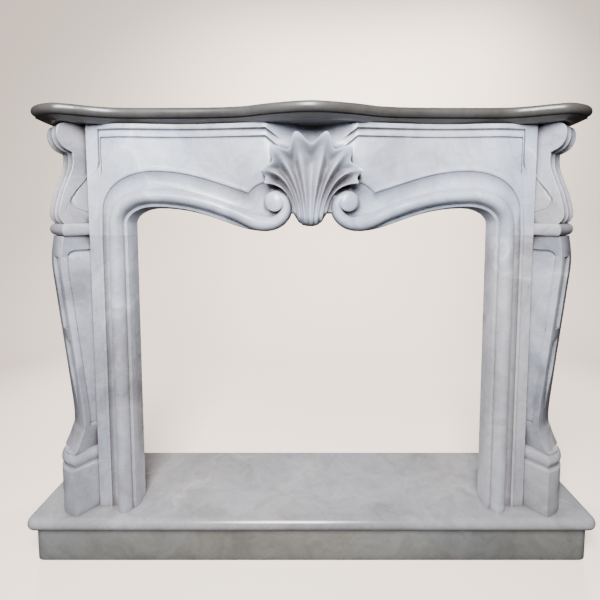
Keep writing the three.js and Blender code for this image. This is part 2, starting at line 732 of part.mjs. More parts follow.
function legProfile() {
  const ankle = SLAB_TOP + ANKLE_HEIGHT;
  const knee = SLAB_TOP + KNEE_HEIGHT;
  const footTop = SLAB_TOP + FOOT_HEIGHT + FOOT_GROOVE + FOOT_TORUS + FOOT_FILLET;
  const curve = new THREE.SplineCurve([
    new THREE.Vector2(FOOT_REACH - 6, footTop),
    new THREE.Vector2(lerp(ANKLE_REACH, FOOT_REACH, 0.25), lerp(footTop, ankle, 0.48)),
    new THREE.Vector2(ANKLE_REACH, ankle),
    new THREE.Vector2(lerp(ANKLE_REACH, KNEE_REACH, 0.32), lerp(ankle, knee, 0.34)),
    new THREE.Vector2(lerp(ANKLE_REACH, KNEE_REACH, 0.8), lerp(ankle, knee, 0.78)),
    new THREE.Vector2(KNEE_REACH, knee),
    new THREE.Vector2(LEG_TOP_REACH, JOINT_Z - JOINT / 2),
  ]);
  return curve.getPoints(20).map((p) => [p.x, p.y]);
}

function reachAt(profile, z) {
  const i = profile.findIndex((p) => p[1] >= z);
  const [a, b] = i <= 0 ? [profile[0], profile[1]] : [profile[i - 1], profile[i]];
  return lerp(a[0], b[0], clamp((z - a[1]) / (b[1] - a[1]), 0, 1));
}

// The foot's plan: straight sides and a canted face that swells in the middle.
function footPlan(inset) {
  const low = -FOOT_SIDE_PROUD + inset;
  const high = CANT_WIDTH + FOOT_SIDE_PROUD - inset;
  const face = steps(8).map((t) => {
    const swell = FOOT_BULGE * Math.sin(Math.PI * t);
    return [FOOT_REACH - inset + swell, lerp(low, high, t)];
  });
  const points = [[-CANT_BACK / 2, low], ...face, [-CANT_BACK / 2, high]];
  return points.map(([reach, across]) => {
    const p = canted(reach, across, 0);
    return [p.x, p.y];
  });
}

function makeFoot() {
  const block = SLAB_TOP + FOOT_HEIGHT;
  const torus = block + FOOT_GROOVE;
  const top = torus + FOOT_TORUS;
  const round = steps(6).map((t) => [lerp(torus, top, t), 6 - 6 * Math.sin(Math.PI * t)]);
  const layers = [
    [SLAB_TOP + JOINT, 0],
    [block - 3, 0],
    [block, 3],
    [block + 2, 7],
    [torus - 0.5, 7],
    ...round,
    [top + 1, 8],
    [top + FOOT_FILLET, 8],
  ];
  return stack(footPlan, layers);
}

// The sunken panel on a leg's or console's side face: a prism through the face, with a bevelled field put back.
function sidePanel(outline, depth) {
  const loopAt = (inset, across) => {
    const middle = [0, 1].map((i) => outline.reduce((sum, p) => sum + p[i] / outline.length, 0));
    return outline.map((p) => {
      const away = Math.hypot(p[0] - middle[0], p[1] - middle[1]);
      const share = 1 - Math.min(inset / away, 0.8);
      return canted(lerp(middle[0], p[0], share), across, lerp(middle[1], p[1], share));
    });
  };
  return loft([loopAt(0, -20), loopAt(0, 0), loopAt(depth, depth)]);
}

function makeLeg() {
  const profile = legProfile();
  const low = SLAB_TOP + JOINT;
  const high = JOINT_Z - JOINT / 2;
  const shaft = cantedSolid(profile, [[0, 0], [CANT_WIDTH, 0]], profile[0][1], high);
  const panelLow = SLAB_TOP + LEG_PANEL_BOTTOM;
  const panelHigh = SLAB_TOP + LEG_PANEL_TOP;
  const edge = steps(12).map((t) => {
    const z = lerp(panelLow, panelHigh, t);
    return [Math.max(reachAt(profile, z) - LEG_PANEL_MARGIN, 4), z];
  });
  const panel = sidePanel([[-8, panelLow], ...edge, [-8, panelHigh]], PANEL_DEPTH);
  const strip = loft(steps(14).map((t) => {
    const z = SLAB_TOP + lerp(STRIP_BOTTOM, STRIP_TOP, t);
    const half = STRIP_HALF_WIDTH * lerp(0.12, 1, smooth(t, 0, 0.3));
    const reach = reachAt(profile, z);
    const middle = CANT_WIDTH / 2;
    const floor = reach - STRIP_DEPTH;
    const clear = reach + STRIP_HALF_WIDTH;
    return [[floor, -half * 0.9], [clear, -half * 1.1], [clear, half * 1.1], [floor, half * 0.9]]
      .map(([out, across]) => canted(out, middle + across, z));
  }));
  const whole = shaft.subtract(panel).subtract(strip).add(makeFoot()).add(wallReturn(low, high));
  return outsideSeam(whole, low, high);
}

function consoleProfile(low) {
  const neck = JOINT_Z + NECK_HEIGHT;
  const belly = JOINT_Z + BELLY_HEIGHT;
  const scroll = JOINT_Z + SCROLL_HEIGHT;
  const top = FRIEZE_TOP - JOINT / 2;
  const lower = new THREE.SplineCurve([
    new THREE.Vector2(RING_REACH, low),
    new THREE.Vector2(BELLY_REACH - 3, lerp(low, belly, 0.4)),
    new THREE.Vector2(BELLY_REACH, belly),
    new THREE.Vector2(lerp(NECK_REACH, BELLY_REACH, 0.7), lerp(belly, neck, 0.31)),
    new THREE.Vector2(lerp(NECK_REACH, BELLY_REACH, 0.36), lerp(belly, neck, 0.53)),
    new THREE.Vector2(NECK_REACH + 1, lerp(belly, neck, 0.78)),
    new THREE.Vector2(NECK_REACH, neck),
  ]);
  const upper = new THREE.SplineCurve([
    new THREE.Vector2(NECK_REACH, neck),
    new THREE.Vector2(lerp(NECK_REACH, SCROLL_REACH, 0.55), lerp(neck, scroll, 0.22)),
    new THREE.Vector2(lerp(NECK_REACH, SCROLL_REACH, 0.88), lerp(neck, scroll, 0.56)),
    new THREE.Vector2(SCROLL_REACH, scroll),
    new THREE.Vector2(lerp(NECK_REACH, SCROLL_REACH, 0.85), lerp(scroll, top, 0.7)),
    new THREE.Vector2(lerp(NECK_REACH, SCROLL_REACH, 0.45), top),
  ]);
  return [...lower.getPoints(10), ...upper.getPoints(10).slice(1)].map((p) => [p.x, p.y]);
}

function makeRing() {
  const low = JOINT_Z + JOINT / 2;
  const radius = RING_HEIGHT / 2;
  const plan = (inset) => {
    const out = -inset;
    const back = -CANT_BACK / 2;
    const front = RING_REACH + out;
    return [[back, -out], [front, -out], [front, CANT_WIDTH + out], [back, CANT_WIDTH + out]]
      .map(([reach, across]) => {
        const p = canted(reach, across, 0);
        return [p.x, p.y];
      });
  };
  const layers = steps(8).map((t) => {
    const angle = Math.PI * (t - 0.5);
    return [low + radius + radius * Math.sin(angle), -RING_PROUD * Math.cos(angle)];
  });
  return stack(plan, layers);
}

function makeConsole() {
  const low = JOINT_Z + JOINT / 2;
  const high = FRIEZE_TOP - JOINT / 2;
  const ringTop = low + RING_HEIGHT;
  const profile = consoleProfile(ringTop - 4);
  const bracket = cantedSolid(profile, coveStations(), ringTop - 4, high);
  const neck = JOINT_Z + NECK_HEIGHT;
  const belly = JOINT_Z + BELLY_HEIGHT;
  const tear = new THREE.SplineCurve([
    new THREE.Vector2(-8, lerp(belly, neck, 0.68)),
    new THREE.Vector2(10, lerp(belly, neck, 0.5)),
    new THREE.Vector2(BELLY_REACH - 34, lerp(belly, neck, 0.28)),
    new THREE.Vector2(BELLY_REACH - 27, lerp(belly, neck, 0.17)),
    new THREE.Vector2(BELLY_REACH - 37, lerp(belly, neck, 0.06)),
    new THREE.Vector2(24, belly + 1),
    new THREE.Vector2(-8, belly - 8),
  ]).getPoints(14).map((p) => [p.x, p.y]);
  const whole = bracket.subtract(sidePanel(tear, PANEL_DEPTH)).add(makeRing()).add(wallReturn(low, high));
  return outsideSeam(whole, low, high);
}

// Half of the shelf's front edge in plan, from the middle to the tip.
function shelfEdge(z) {
  const edge = SLAB_FRONT_Y;
  const cutBack = SHELF_LIP_CUT * (1 - smooth(z, FRIEZE_TOP, SHELF_TOP - SHELF_BULLNOSE));
  const tip = SHELF_WIDTH / 2;
  const bow = new THREE.SplineCurve([
    new THREE.Vector2(-SHELF_BOW_X * 0.35, edge - SHELF_BOW_FORWARD * 0.68),
    new THREE.Vector2(0, edge - SHELF_BOW_FORWARD),
    new THREE.Vector2(SHELF_BOW_X * 0.35, edge - SHELF_BOW_FORWARD * 0.68),
    new THREE.Vector2(SHELF_BOW_X * 0.7, edge - SHELF_BOW_FORWARD * 0.08),
    new THREE.Vector2(SHELF_BOW_X, edge + SHELF_FLANK_BACK * 0.55),
    new THREE.Vector2(SHELF_BOW_X * 1.45, edge + SHELF_FLANK_BACK * 0.9),
    new THREE.Vector2(SHELF_BOW_X * 2.1, edge + SHELF_FLANK_BACK),
    new THREE.Vector2(SHELF_NOSE_X * 0.81, edge + SHELF_FLANK_BACK),
    new THREE.Vector2(SHELF_NOSE_X * 0.92, edge + SHELF_FLANK_BACK * 0.5),
    new THREE.Vector2(SHELF_NOSE_X, edge - SHELF_NOSE_FORWARD),
  ]);
  const points = bow.getPoints(25).filter((p) => p.x > 1e-6).map((p) => [p.x, p.y]);
  const noseY = edge - SHELF_NOSE_FORWARD;
  const tipY = edge + SHELF_TIP_BACK + cutBack;
  const corner = new THREE.CubicBezierCurve(
    new THREE.Vector2(SHELF_NOSE_X, noseY),
    new THREE.Vector2(lerp(SHELF_NOSE_X, tip, 0.3), noseY),
    new THREE.Vector2(lerp(SHELF_NOSE_X, tip, 0.75), lerp(noseY, tipY, 0.4)),
    new THREE.Vector2(tip, tipY),
  ).getPoints(5).slice(1).map((p) => [p.x, p.y]);
  return [[0, edge - SHELF_BOW_FORWARD], ...points, ...corner, [tip, WALL_Y]];
}

function shelfPlan(inset, z) {
  const edge = shelfEdge(z);
  const unit = (a, b) => {
    const length = Math.hypot(b[0] - a[0], b[1] - a[1]);
    return [(b[0] - a[0]) / length, (b[1] - a[1]) / length];
  };
  const right = edge.map((p, i) => {
    const before = i === 0 ? [1, 0] : unit(edge[i - 1], p);
    const after = i === edge.length - 1 ? before : unit(p, edge[i + 1]);
    const first = i === 0 ? [after[0], -after[1]] : before;
    const normal = [-(first[1] + after[1]), first[0] + after[0]];
    const length = Math.hypot(...normal);
    const turn = (first[0] * after[0] + first[1] * after[1] + 1) / 2;
    const reach = inset / Math.sqrt(turn) / length;
    return [Math.max(p[0] + normal[0] * reach, 0), i === edge.length - 1 ? WALL_Y : p[1] + normal[1] * reach];
  });
  return [...right, ...right.slice(1).map(([x, y]) => [-x, y]).reverse()];
}

function makeShelf() {
  const quirk = SHELF_TOP - SHELF_BULLNOSE;
  const radius = SHELF_BULLNOSE / 2;
  const nose = steps(5).map((t) => {
    const angle = degrees(-90 + 180 * t);
    return [quirk + radius + radius * Math.sin(angle), radius * (1 - Math.cos(angle)) * 0.7 + 0.01];
  });
  const lip = quirk - FRIEZE_TOP - 3;
  const layers = [
    [FRIEZE_TOP + JOINT / 2, SHELF_LIP_INSET + 4],
    [FRIEZE_TOP + 3, SHELF_LIP_INSET],
    [FRIEZE_TOP + 3 + lip * 0.7, SHELF_LIP_INSET + 1],
    [quirk - 1.5, SHELF_QUIRK + 3],
    ...nose,
  ];
  return stack(shelfPlan, layers);
}

const MARBLE = { color: '#d9d4cd', roughness: 0.35, metalness: 0 };
const SHADED_MARBLE = { color: '#b9b4aa', roughness: 0.4, metalness: 0 };

// A named piece; side -1 gives the mirror image of the solid.
function piece(name, solid, finish, side = 1) {
  const mesh = new THREE.Mesh(toGeometry(solid, side), new THREE.MeshStandardMaterial(finish));
  mesh.name = name;
  return mesh;
}

const mantel = new THREE.Group();
mantel.add(piece('hearth_riser', makeRiser(), SHADED_MARBLE));
mantel.add(piece('hearth_slab', makeSlab(), MARBLE));
for (const [hand, side] of [['left', -1], ['right', 1]]) {
  mantel.add(piece(`${hand}_jamb`, makeJamb(), MARBLE, side));
  mantel.add(piece(`${hand}_leg`, makeLeg(), MARBLE, side));
  mantel.add(piece(`${hand}_console`, makeConsole(), MARBLE, side));
}
mantel.add(piece('frieze', makeFrieze(), MARBLE));
mantel.add(piece('shelf', makeShelf(), MARBLE));

export default mantel;
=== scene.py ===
"""Carved marble fireplace mantel: fine stone surfaces over the fixed solids, with floor, light and camera."""
import math

import bpy
import numpy as np
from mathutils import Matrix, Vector


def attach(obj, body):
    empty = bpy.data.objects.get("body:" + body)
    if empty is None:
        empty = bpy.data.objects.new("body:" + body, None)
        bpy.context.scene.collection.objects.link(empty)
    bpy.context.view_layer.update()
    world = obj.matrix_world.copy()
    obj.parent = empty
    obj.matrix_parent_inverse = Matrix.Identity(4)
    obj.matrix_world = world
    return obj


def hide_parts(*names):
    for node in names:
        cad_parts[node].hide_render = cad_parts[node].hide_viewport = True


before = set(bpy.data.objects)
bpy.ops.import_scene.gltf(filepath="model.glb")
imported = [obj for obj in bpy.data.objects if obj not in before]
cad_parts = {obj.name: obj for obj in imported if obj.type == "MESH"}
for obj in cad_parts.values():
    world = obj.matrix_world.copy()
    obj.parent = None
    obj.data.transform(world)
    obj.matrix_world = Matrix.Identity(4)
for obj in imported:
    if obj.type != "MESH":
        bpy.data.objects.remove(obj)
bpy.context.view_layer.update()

# Lengths in millimetres, angles in degrees, shares and counts without a unit
JOINT = 0.3
RISER_DEPTH = 324
RISER_HEIGHT = 90
SLAB_THICKNESS = 36
HEARTH_MARGIN = 56
SLAB_SIDE_OVERHANG = 18
SLAB_FRONT_OVERHANG = 15
HEARTH_CORNER_RADIUS = 28
OPENING_HALF = 500
JAMB_HEIGHT = 784
JAMB_WIDTH = 113
JAMB_THICKNESS = 50
STILE_SETBACK = 65
RETURN_BEVEL_DEPTH = 22
RETURN_BEVEL_WIDTH = 5
FILLET_PROUD = 8
ROLL_START = 13
ROLL_PEAK = 32
ROLL_END = 53
ROLL_PROUD = 33
HOLLOW_DEPTH = 7
HOLLOW_LIP = 2
HOLLOW_MARGIN = 2
BEAD_OFFSET = 80
BEAD_WIDTH = 11
BEAD_PROUD = 6
BEAD_FOOT = 0.4
FRIEZE_HEIGHT = 301
ARCH_SPRING = 30
ARCH_CORNER_WIDTH = 73
ARCH_CORNER_RISE = 45
ARCH_LOW_POINT = 128
ARCH_LOW_RISE = 12
ARCH_WRAP_HEIGHT = 48
BEAD_SPRING = 65
BEAD_SPRING_INSET = 3
BEAD_CROWN_X = 424
BEAD_CROWN_RISE = 180
BEAD_POINT_X = 172
BEAD_POINT_RISE = 120
BEAD_TURN_X = 130
BEAD_TURN_RISE = 147
RIM_WIDTH = 11
BORDER_WIDTH = 30
SIDE_BORDER_WIDTH = 10
SIDE_BORDER_INSET = 9
BORDER_STEP = 7
BORDER_LINE_STEP = 5
BORDER_TURN_X = 122
BORDER_TURN_SLOPE = 0.85
RIM_TURN_SLOPE = 0.75
BORDER_TURN_FADE = (15, 45)
BORDER_SIDE_FADE = (8, 18)
BOW_CENTRE = 34
BOW_CENTRE_X = 60
BOW_FLANK = 3
BOW_FLANK_X = 360
BOW_END = 15
BOW_END_X = 530
BOW_RISE = 190
SCOOP_DEPTH = 66
SCOOP_WIDTH = 130
SCOOP_HEIGHT = 90
VOLUTE_X = 97
VOLUTE_RISE = 90
EYE_RADIUS = 24
EYE_PROUD = 37
EYE_DOME = 7
ROLL_ROOT = 20
VOLUTE_ENTRY_RADIUS = 83.5
VOLUTE_ENTRY_ANGLE = -68
VOLUTE_SWEEP = 345
COIL_RADIUS = 33
VOLUTE_TIGHTEN = 0.0057
VOLUTE_WIDTH = 44
VOLUTE_TAIL_WIDTH = 14
VOLUTE_PEAK_SHARE = 0.48
SHELL_FLUTES = 7
SHELL_BASE_WIDTH = 88
SHELL_BASE_ROUND = 32
SHELL_BASE_RISE = 26
SHELL_BASE_SHIFT = -4
SHELL_CROWN = (40, 268)
SHELL_SHOULDER = (103, 232)
SHELL_FLANK = (131, 169)
SHELL_LEAF = (119, 138)
SHELL_PROUD = 64
SHELL_FOOT_PROUD = 22
SHELL_FOOT_SHARE = 0.14
SHELL_WAIST = 9
SHELL_WAIST_SPAN = (0.25, 0.7)
SHELL_RIM_CURL = 29
SHELL_CURL_SPAN = (0.76, 1)
SHELL_BED_DEPTH = 22
SHELL_BED_SIDES = (85, 112)
SHELL_BED_FOOT = (118, 142)
SHELL_BED_HEAD = (215, 250)
FLUTE_DEPTH_BASE = 8
FLUTE_DEPTH_RIM = 34
FLUTE_DEPTH_SPAN = (0.1, 0.8)
FLUTE_SHALLOW_SPAN = (0.86, 1)
FLUTE_POWER_BASE = 1.3
FLUTE_POWER_RIM = 1.8
SCALLOPS = (0.04, 0.085, 0.115, 0.115, 0.115, 0.085, 0.04)
SCALLOP_POWER = 2.2
SHELL_COLUMNS_PER_FLUTE = 14
SHELL_ROWS = 90
SHELL_ROOT = 15
CANT_WIDTH = 88
CANT_BACK = 30
RETURN_THICKNESS = 42
RETURN_INSET = 3
FOOT_REACH = 66
FOOT_BULGE = 13
FOOT_SIDE_PROUD = 4
FOOT_HEIGHT = 132
FOOT_GROOVE = 8
FOOT_TORUS = 30
FOOT_FILLET = 8
ANKLE_REACH = 33
ANKLE_HEIGHT = 264
KNEE_REACH = 73.5
KNEE_HEIGHT = 715
LEG_TOP_REACH = 66
LEG_PANEL_TOP = 747
LEG_PANEL_BOTTOM = 246
LEG_PANEL_MARGIN = 16
PANEL_DEPTH = 7
PANEL_CORNER_RADIUS = 16
PANEL_BACK = -8
PANEL_LEAST_REACH = 4
STRIP_TOP = 728
STRIP_BOTTOM = 290
STRIP_HALF_WIDTH = 22
STRIP_DEPTH = 7
STRIP_TAPER = 130
STRIP_POINT = 0.12
STRIP_BRIDGE = 508
STRIP_BRIDGE_LENGTH = 32
RING_HEIGHT = 34
RING_REACH = 57
RING_PROUD = 14
RING_OVERLAP = 4
BELLY_REACH = 72.5
BELLY_HEIGHT = 66
NECK_REACH = 34
NECK_HEIGHT = 224
SCROLL_REACH = 71
SCROLL_HEIGHT = 272
COVE_DEPTH = 6
EDGE_FILLET = 8
SHELF_THICKNESS = 41
SHELF_WIDTH = 1482
SHELF_LIP_CUT = 62
SHELF_TIP_BACK = 36
SHELF_NOSE_X = 655
SHELF_NOSE_FORWARD = 15
SHELF_FLANK_BACK = 40
SHELF_BOW_X = 182
SHELF_BOW_FORWARD = 39
SHELF_BULLNOSE = 28
SHELF_QUIRK = 9
SHELF_LIP_INSET = 6
LEAST_INSET = 0.01
CUTTER_CLEARANCE = 20
SHARP_ANGLE = 32

WALL_Y = RISER_DEPTH / 2
SLAB_FRONT_Y = -RISER_DEPTH / 2 - SLAB_FRONT_OVERHANG
STILE_Y = SLAB_FRONT_Y + STILE_SETBACK
SLAB_TOP = RISER_HEIGHT + SLAB_THICKNESS
JOINT_Z = SLAB_TOP + JAMB_HEIGHT
FRIEZE_TOP = JOINT_Z + FRIEZE_HEIGHT
SHELF_TOP = FRIEZE_TOP + SHELF_THICKNESS
SEAM_X = OPENING_HALF + JAMB_WIDTH
CANT = math.sqrt(0.5)
RISER_HALF = SEAM_X + CANT * (CANT_WIDTH + FOOT_REACH) + HEARTH_MARGIN

# The return into the opening: distance from the opening, how far in front of the stile
RETURN_SECTION = [(0, FILLET_PROUD - RETURN_BEVEL_DEPTH), (1.5, FILLET_PROUD - 13),
                  (RETURN_BEVEL_WIDTH - 1, FILLET_PROUD - 3), (RETURN_BEVEL_WIDTH, FILLET_PROUD)]
# A sunken panel from its edge inwards: inset, share of the depth
PANEL_SECTION = ((1.5, 0.55), (4, 0.9), (7, 1), (8.5, 0.7), (11, 0.6))
# A canted block's arris: distance across, inset
ARRIS = [(0, 1.6), (0.5, 0.6), (1.6, 0)]
# Stretches of the frieze from a jamb to the middle: name, rays over the face, stations of the roll
ZONES = (("jamb", 4, 4), ("corner", 48, 30), ("arch", 70, 60), ("wrap", 14, 0), ("centre", 24, 0))
# The shelf's bullnose: share of its radius in height, and in depth
NOSE_ABOVE, NOSE_BELOW = (0.85, 0.75), (1.15, 1.15)


def lerp(a, b, t):
    return a + (b - a) * t


def smooth(value, low, high):
    t = np.clip((value - low) / (high - low), 0, 1)
    return t * t * (3 - 2 * t)


def steps(count):
    return np.linspace(0, 1, count + 1)


def cubic(a, b, c, d, t):
    a, b, c, d = (np.array(p, float) for p in (a, b, c, d))
    u = 1 - t
    return u ** 3 * a + 3 * u * u * t * b + 3 * u * t * t * c + t ** 3 * d


def quadratic(a, b, c, t):
    a, b, c = (np.array(p, float) for p in (a, b, c))
    u = 1 - t
    return u * u * a + 2 * u * t * b + t * t * c


def spline(points, count):
    """A smooth curve through the points, as count + 1 points."""
    points = np.array(points, float)
    last = len(points) - 1
    out = []
    for t in steps(count):
        place = last * t
        i = min(int(place), last)
        w = place - i
        p0, p1 = points[max(i - 1, 0)], points[i]
        p2, p3 = points[min(i + 1, last)], points[min(i + 2, last)]
        v0, v1 = (p2 - p0) / 2, (p3 - p1) / 2
        third, second = 2 * p1 - 2 * p2 + v0 + v1, 3 * p2 - 3 * p1 - 2 * v0 - v1
        out.append(third * w ** 3 + second * w * w + v0 * w + p1)
    return np.array(out)


# Shapes are (vertices, faces) in millimetres
def loft(loops):
    loops = np.array(loops, float)
    rows, size = loops.shape[:2]
    faces = []
    for i in range(rows - 1):
        for j in range(size):
            k = (j + 1) % size
            faces.append((i * size + j, i * size + k, (i + 1) * size + k, (i + 1) * size + j))
    faces.append(tuple(range(size))[::-1])
    faces.append(tuple(range((rows - 1) * size, rows * size)))
    return outward(loops.reshape(-1, 3), faces)


def outward(vertices, faces):
    volume = 0
    for face in faces:
        a = vertices[face[0]]
        for i in range(1, len(face) - 1):
            volume += np.dot(a, np.cross(vertices[face[i]], vertices[face[i + 1]]))
    if volume < 0:
        faces = [face[::-1] for face in faces]
    return vertices, faces


def join(*shapes):
    vertices, faces, first = [], [], 0
    for points, polygons in shapes:
        vertices.append(points)
        faces += [tuple(first + i for i in face) for face in polygons]
        first += len(points)
    return np.vstack(vertices), faces


def mirrored(shape):
    vertices, faces = shape
    return vertices * np.array([-1, 1, 1]), [face[::-1] for face in faces]


def stack(plan_at, layers):
    return loft([[(x, y, z) for x, y in plan_at(inset, z)] for z, inset in layers])


def box(x0, x1, y0, y1, z0, z1):
    return loft([[(x0, y0, z), (x1, y0, z), (x1, y1, z), (x0, y1, z)] for z in (z0, z1)])


def make_object(name, shape):
    """A mesh object in metres with smooth faces, and sharp edges over SHARP_ANGLE."""
    vertices, faces = shape
    mesh = bpy.data.meshes.new(name)
    mesh.from_pydata([tuple(v) for v in np.array(vertices) / 1000], [], faces)
    mesh.validate()
    obj = bpy.data.objects.new(name, mesh)
    bpy.context.scene.collection.objects.link(obj)
    for polygon in mesh.polygons:
        polygon.use_smooth = True
    mesh.set_sharp_from_angle(angle=math.radians(SHARP_ANGLE))
    return obj


def bake(obj):
    """Applies the object's modifiers to its mesh."""
    graph = bpy.context.evaluated_depsgraph_get()
    graph.update()
    mesh = bpy.data.meshes.new_from_object(obj.evaluated_get(graph))
    obj.modifiers.clear()
    obj.data = mesh


def carve(shape, cutters):
    """The shape with the cutters taken away, as a shape."""
    obj = make_object("carve_base", shape)
    tools = [make_object(f"carve_cutter_{i}", cutter) for i, cutter in enumerate(cutters)]
    for tool in tools:
        cut = obj.modifiers.new("cut", "BOOLEAN")
        cut.operation = "DIFFERENCE"
        cut.solver = "EXACT"
        cut.object = tool
    bake(obj)
    vertices = np.array([tuple(v.co) for v in obj.data.vertices]) * 1000
    faces = [tuple(p.vertices) for p in obj.data.polygons]
    for item in [obj, *tools]:
        bpy.data.objects.remove(item)
    return vertices, faces


# Hearth
def hearth_plan(half_width, front, inset):
    side, front = half_width - inset, front + inset
    radius = max(HEARTH_CORNER_RADIUS - inset, 1)
    right = [(side, WALL_Y)]
    for t in steps(14):
        angle = math.radians(-90 * t)
        right.append((side - radius + radius * math.cos(angle), front + radius + radius * math.sin(angle)))
    return right + [(-x, y) for x, y in right[::-1]]


def riser():
    layers = [(0, 0), (RISER_HEIGHT - 3, 0), (RISER_HEIGHT - 1, 0.8), (RISER_HEIGHT, 3)]
    return stack(lambda inset, z: hearth_plan(RISER_HALF, -RISER_DEPTH / 2, inset), layers)


def slab():
    bottom = RISER_HEIGHT + JOINT
    radius = (SLAB_TOP - bottom) / 2
    layers = []
    for t in steps(20):
        angle = math.radians(-90 + 180 * t)
        layers.append((bottom + radius + radius * math.sin(angle),
                       radius * (1 - math.cos(angle)) + LEAST_INSET))
    return stack(lambda inset, z: hearth_plan(RISER_HALF + SLAB_SIDE_OVERHANG, SLAB_FRONT_Y, inset), layers)


# Mouldings: (distance from the opening, how far in front of the stile)
def roll_face(count):
    return [(-math.cos(math.pi * t), max(math.sin(math.pi * t), 0) ** 0.85) for t in steps(count)]


def roll_point(across, up, inner, peak, outer, foot, crown):
    width = peak - inner if across < 0 else outer - peak
    return peak + across * width, lerp(foot, crown, up)


def bead_section(middle):
    half = BEAD_WIDTH / 2
    side = [(1, BEAD_FOOT), (0.8, BEAD_PROUD * 0.66), (0.4, BEAD_PROUD * 0.95)]
    rising = [(middle - half * share, h) for share, h in side]
    falling = [(middle + half * share, h) for share, h in side[::-1]]
    return [*rising, (middle, BEAD_PROUD), *falling]


def hollow_section(bead_at):
    """The shallow cove between the roll and the bead."""
    start, end = ROLL_END + HOLLOW_MARGIN, bead_at - BEAD_WIDTH / 2 - 1
    out = []
    for t in steps(9):
        sunk = (HOLLOW_DEPTH + HOLLOW_LIP) * max(math.sin(math.pi * t), 0) ** 0.7
        out.append((lerp(start, end, t), HOLLOW_LIP - sunk))
    return out


def jamb():
    seam = JAMB_WIDTH - JOINT / 2
    section = [(0, -JAMB_THICKNESS), *RETURN_SECTION]
    section += [roll_point(across, up, ROLL_START, ROLL_PEAK, ROLL_END, FILLET_PROUD, ROLL_PROUD)
                for across, up in roll_face(36)]
    section += hollow_section(BEAD_OFFSET) + bead_section(BEAD_OFFSET)
    section += [(seam - 1, 0), (seam, -1), (seam, -JAMB_THICKNESS)]
    plan = [(OPENING_HALF + e, STILE_Y - h) for e, h in section]
    low, high = SLAB_TOP + JOINT, JOINT_Z - JOINT / 2
    return stack(lambda inset, z: plan, [(low, 0), (lerp(low, high, 0.5), 0), (high, 0)])


# Frieze
def opening_curve(zone, t):
    spring = JOINT_Z + ARCH_SPRING
    crown = (OPENING_HALF - ARCH_CORNER_WIDTH, spring + ARCH_CORNER_RISE)
    low = (ARCH_LOW_POINT, JOINT_Z + ARCH_LOW_RISE)
    reach = crown[0] - low[0]
    wrap_width = low[0] - SHELL_BASE_WIDTH * 0.75
    if zone == "jamb":
        return np.array([OPENING_HALF, lerp(JOINT_Z + JOINT / 2, spring, t)])
    if zone == "corner":
        angle = t * math.pi / 2
        return np.array([OPENING_HALF - ARCH_CORNER_WIDTH * (1 - math.cos(angle)),
                         spring + ARCH_CORNER_RISE * math.sin(angle)])
    if zone == "arch":
        return cubic(crown, (crown[0] - reach * 0.5, crown[1]), (low[0] + reach * 0.3, low[1]), low, t)
    if zone == "wrap":
        angle = t * math.pi / 2
        return np.array([low[0] - wrap_width * math.sin(angle),
                         low[1] + ARCH_WRAP_HEIGHT * (1 - math.cos(angle))])
    return np.array([lerp(low[0] - wrap_width, 0, t), low[1] + ARCH_WRAP_HEIGHT])


def bead_curve(zone, t):
    line = OPENING_HALF + BEAD_OFFSET
    spring = JOINT_Z + BEAD_SPRING
    crown = (BEAD_CROWN_X, JOINT_Z + BEAD_CROWN_RISE)
    point = (BEAD_POINT_X, JOINT_Z + BEAD_POINT_RISE)
    turn = (BEAD_TURN_X, JOINT_Z + BEAD_TURN_RISE)
    if zone == "jamb":
        return np.array([line - BEAD_SPRING_INSET * t, lerp(JOINT_Z + JOINT / 2, spring, t)])
    if zone == "corner":
        angle = t * math.pi / 2
        return np.array([lerp(crown[0], line - BEAD_SPRING_INSET, math.cos(angle)),
                         lerp(spring, crown[1], math.sin(angle))])
    if zone == "arch":
        return cubic(crown, (lerp(crown[0], point[0], 0.35), crown[1]),
                     (lerp(crown[0], point[0], 0.65), lerp(crown[1], point[1], 0.54)), point, t)
    if zone == "wrap":
        return quadratic(point, (lerp(point[0], turn[0], 0.5), lerp(point[1], turn[1], 0.85)), turn, t)
    return np.array([lerp(turn[0], 0, t), turn[1]])


def border_at(zone, t, bead):
    """Where a ray crosses the border and the frieze's edge: inner, outer, edge, share of the depth."""
    top, seam = FRIEZE_TOP - JOINT / 2, SEAM_X - JOINT / 2
    inner_x = OPENING_HALF + BEAD_OFFSET - SIDE_BORDER_INSET
    fade_start, fade_end = (BEAD_SPRING_INSET + distance for distance in BORDER_SIDE_FADE)
    spread = smooth(OPENING_HALF + BEAD_OFFSET - bead[0], fade_start, fade_end)
    side_in = max(inner_x, bead[0] + BEAD_WIDTH * 0.6)
    side_out = side_in + lerp((seam - side_in) * 0.5, SIDE_BORDER_WIDTH, spread)
    panel_top, rim_low = top - RIM_WIDTH - BORDER_WIDTH, top - RIM_WIDTH
    if zone == "jamb":
        return (side_in, bead[1]), (side_out, bead[1]), (seam, bead[1]), 0
    if zone == "corner" and t <= 0.5:
        share, start = t * 2, JOINT_Z + BEAD_SPRING
        return ((side_in, lerp(start, panel_top, share)), (side_out, lerp(start, rim_low, share)),
                (seam, lerp(start, top, share)), spread)
    if zone == "corner":
        share = t * 2 - 1
        return ((lerp(inner_x, BEAD_CROWN_X, share), panel_top),
                (lerp(inner_x + SIDE_BORDER_WIDTH, BEAD_CROWN_X, share), rim_low),
                (lerp(seam, BEAD_CROWN_X, share), top), 1)
    spans = {"arch": (BEAD_CROWN_X, BEAD_POINT_X), "wrap": (BEAD_POINT_X, BORDER_TURN_X),
             "centre": (BORDER_TURN_X, 0)}
    x = lerp(*spans[zone], t)
    turned = max(0, BORDER_TURN_X - x)
    fade = 1 - smooth(turned, *BORDER_TURN_FADE)
    return (x, panel_top - turned * BORDER_TURN_SLOPE), (x, rim_low - turned * RIM_TURN_SLOPE), (x, top), fade


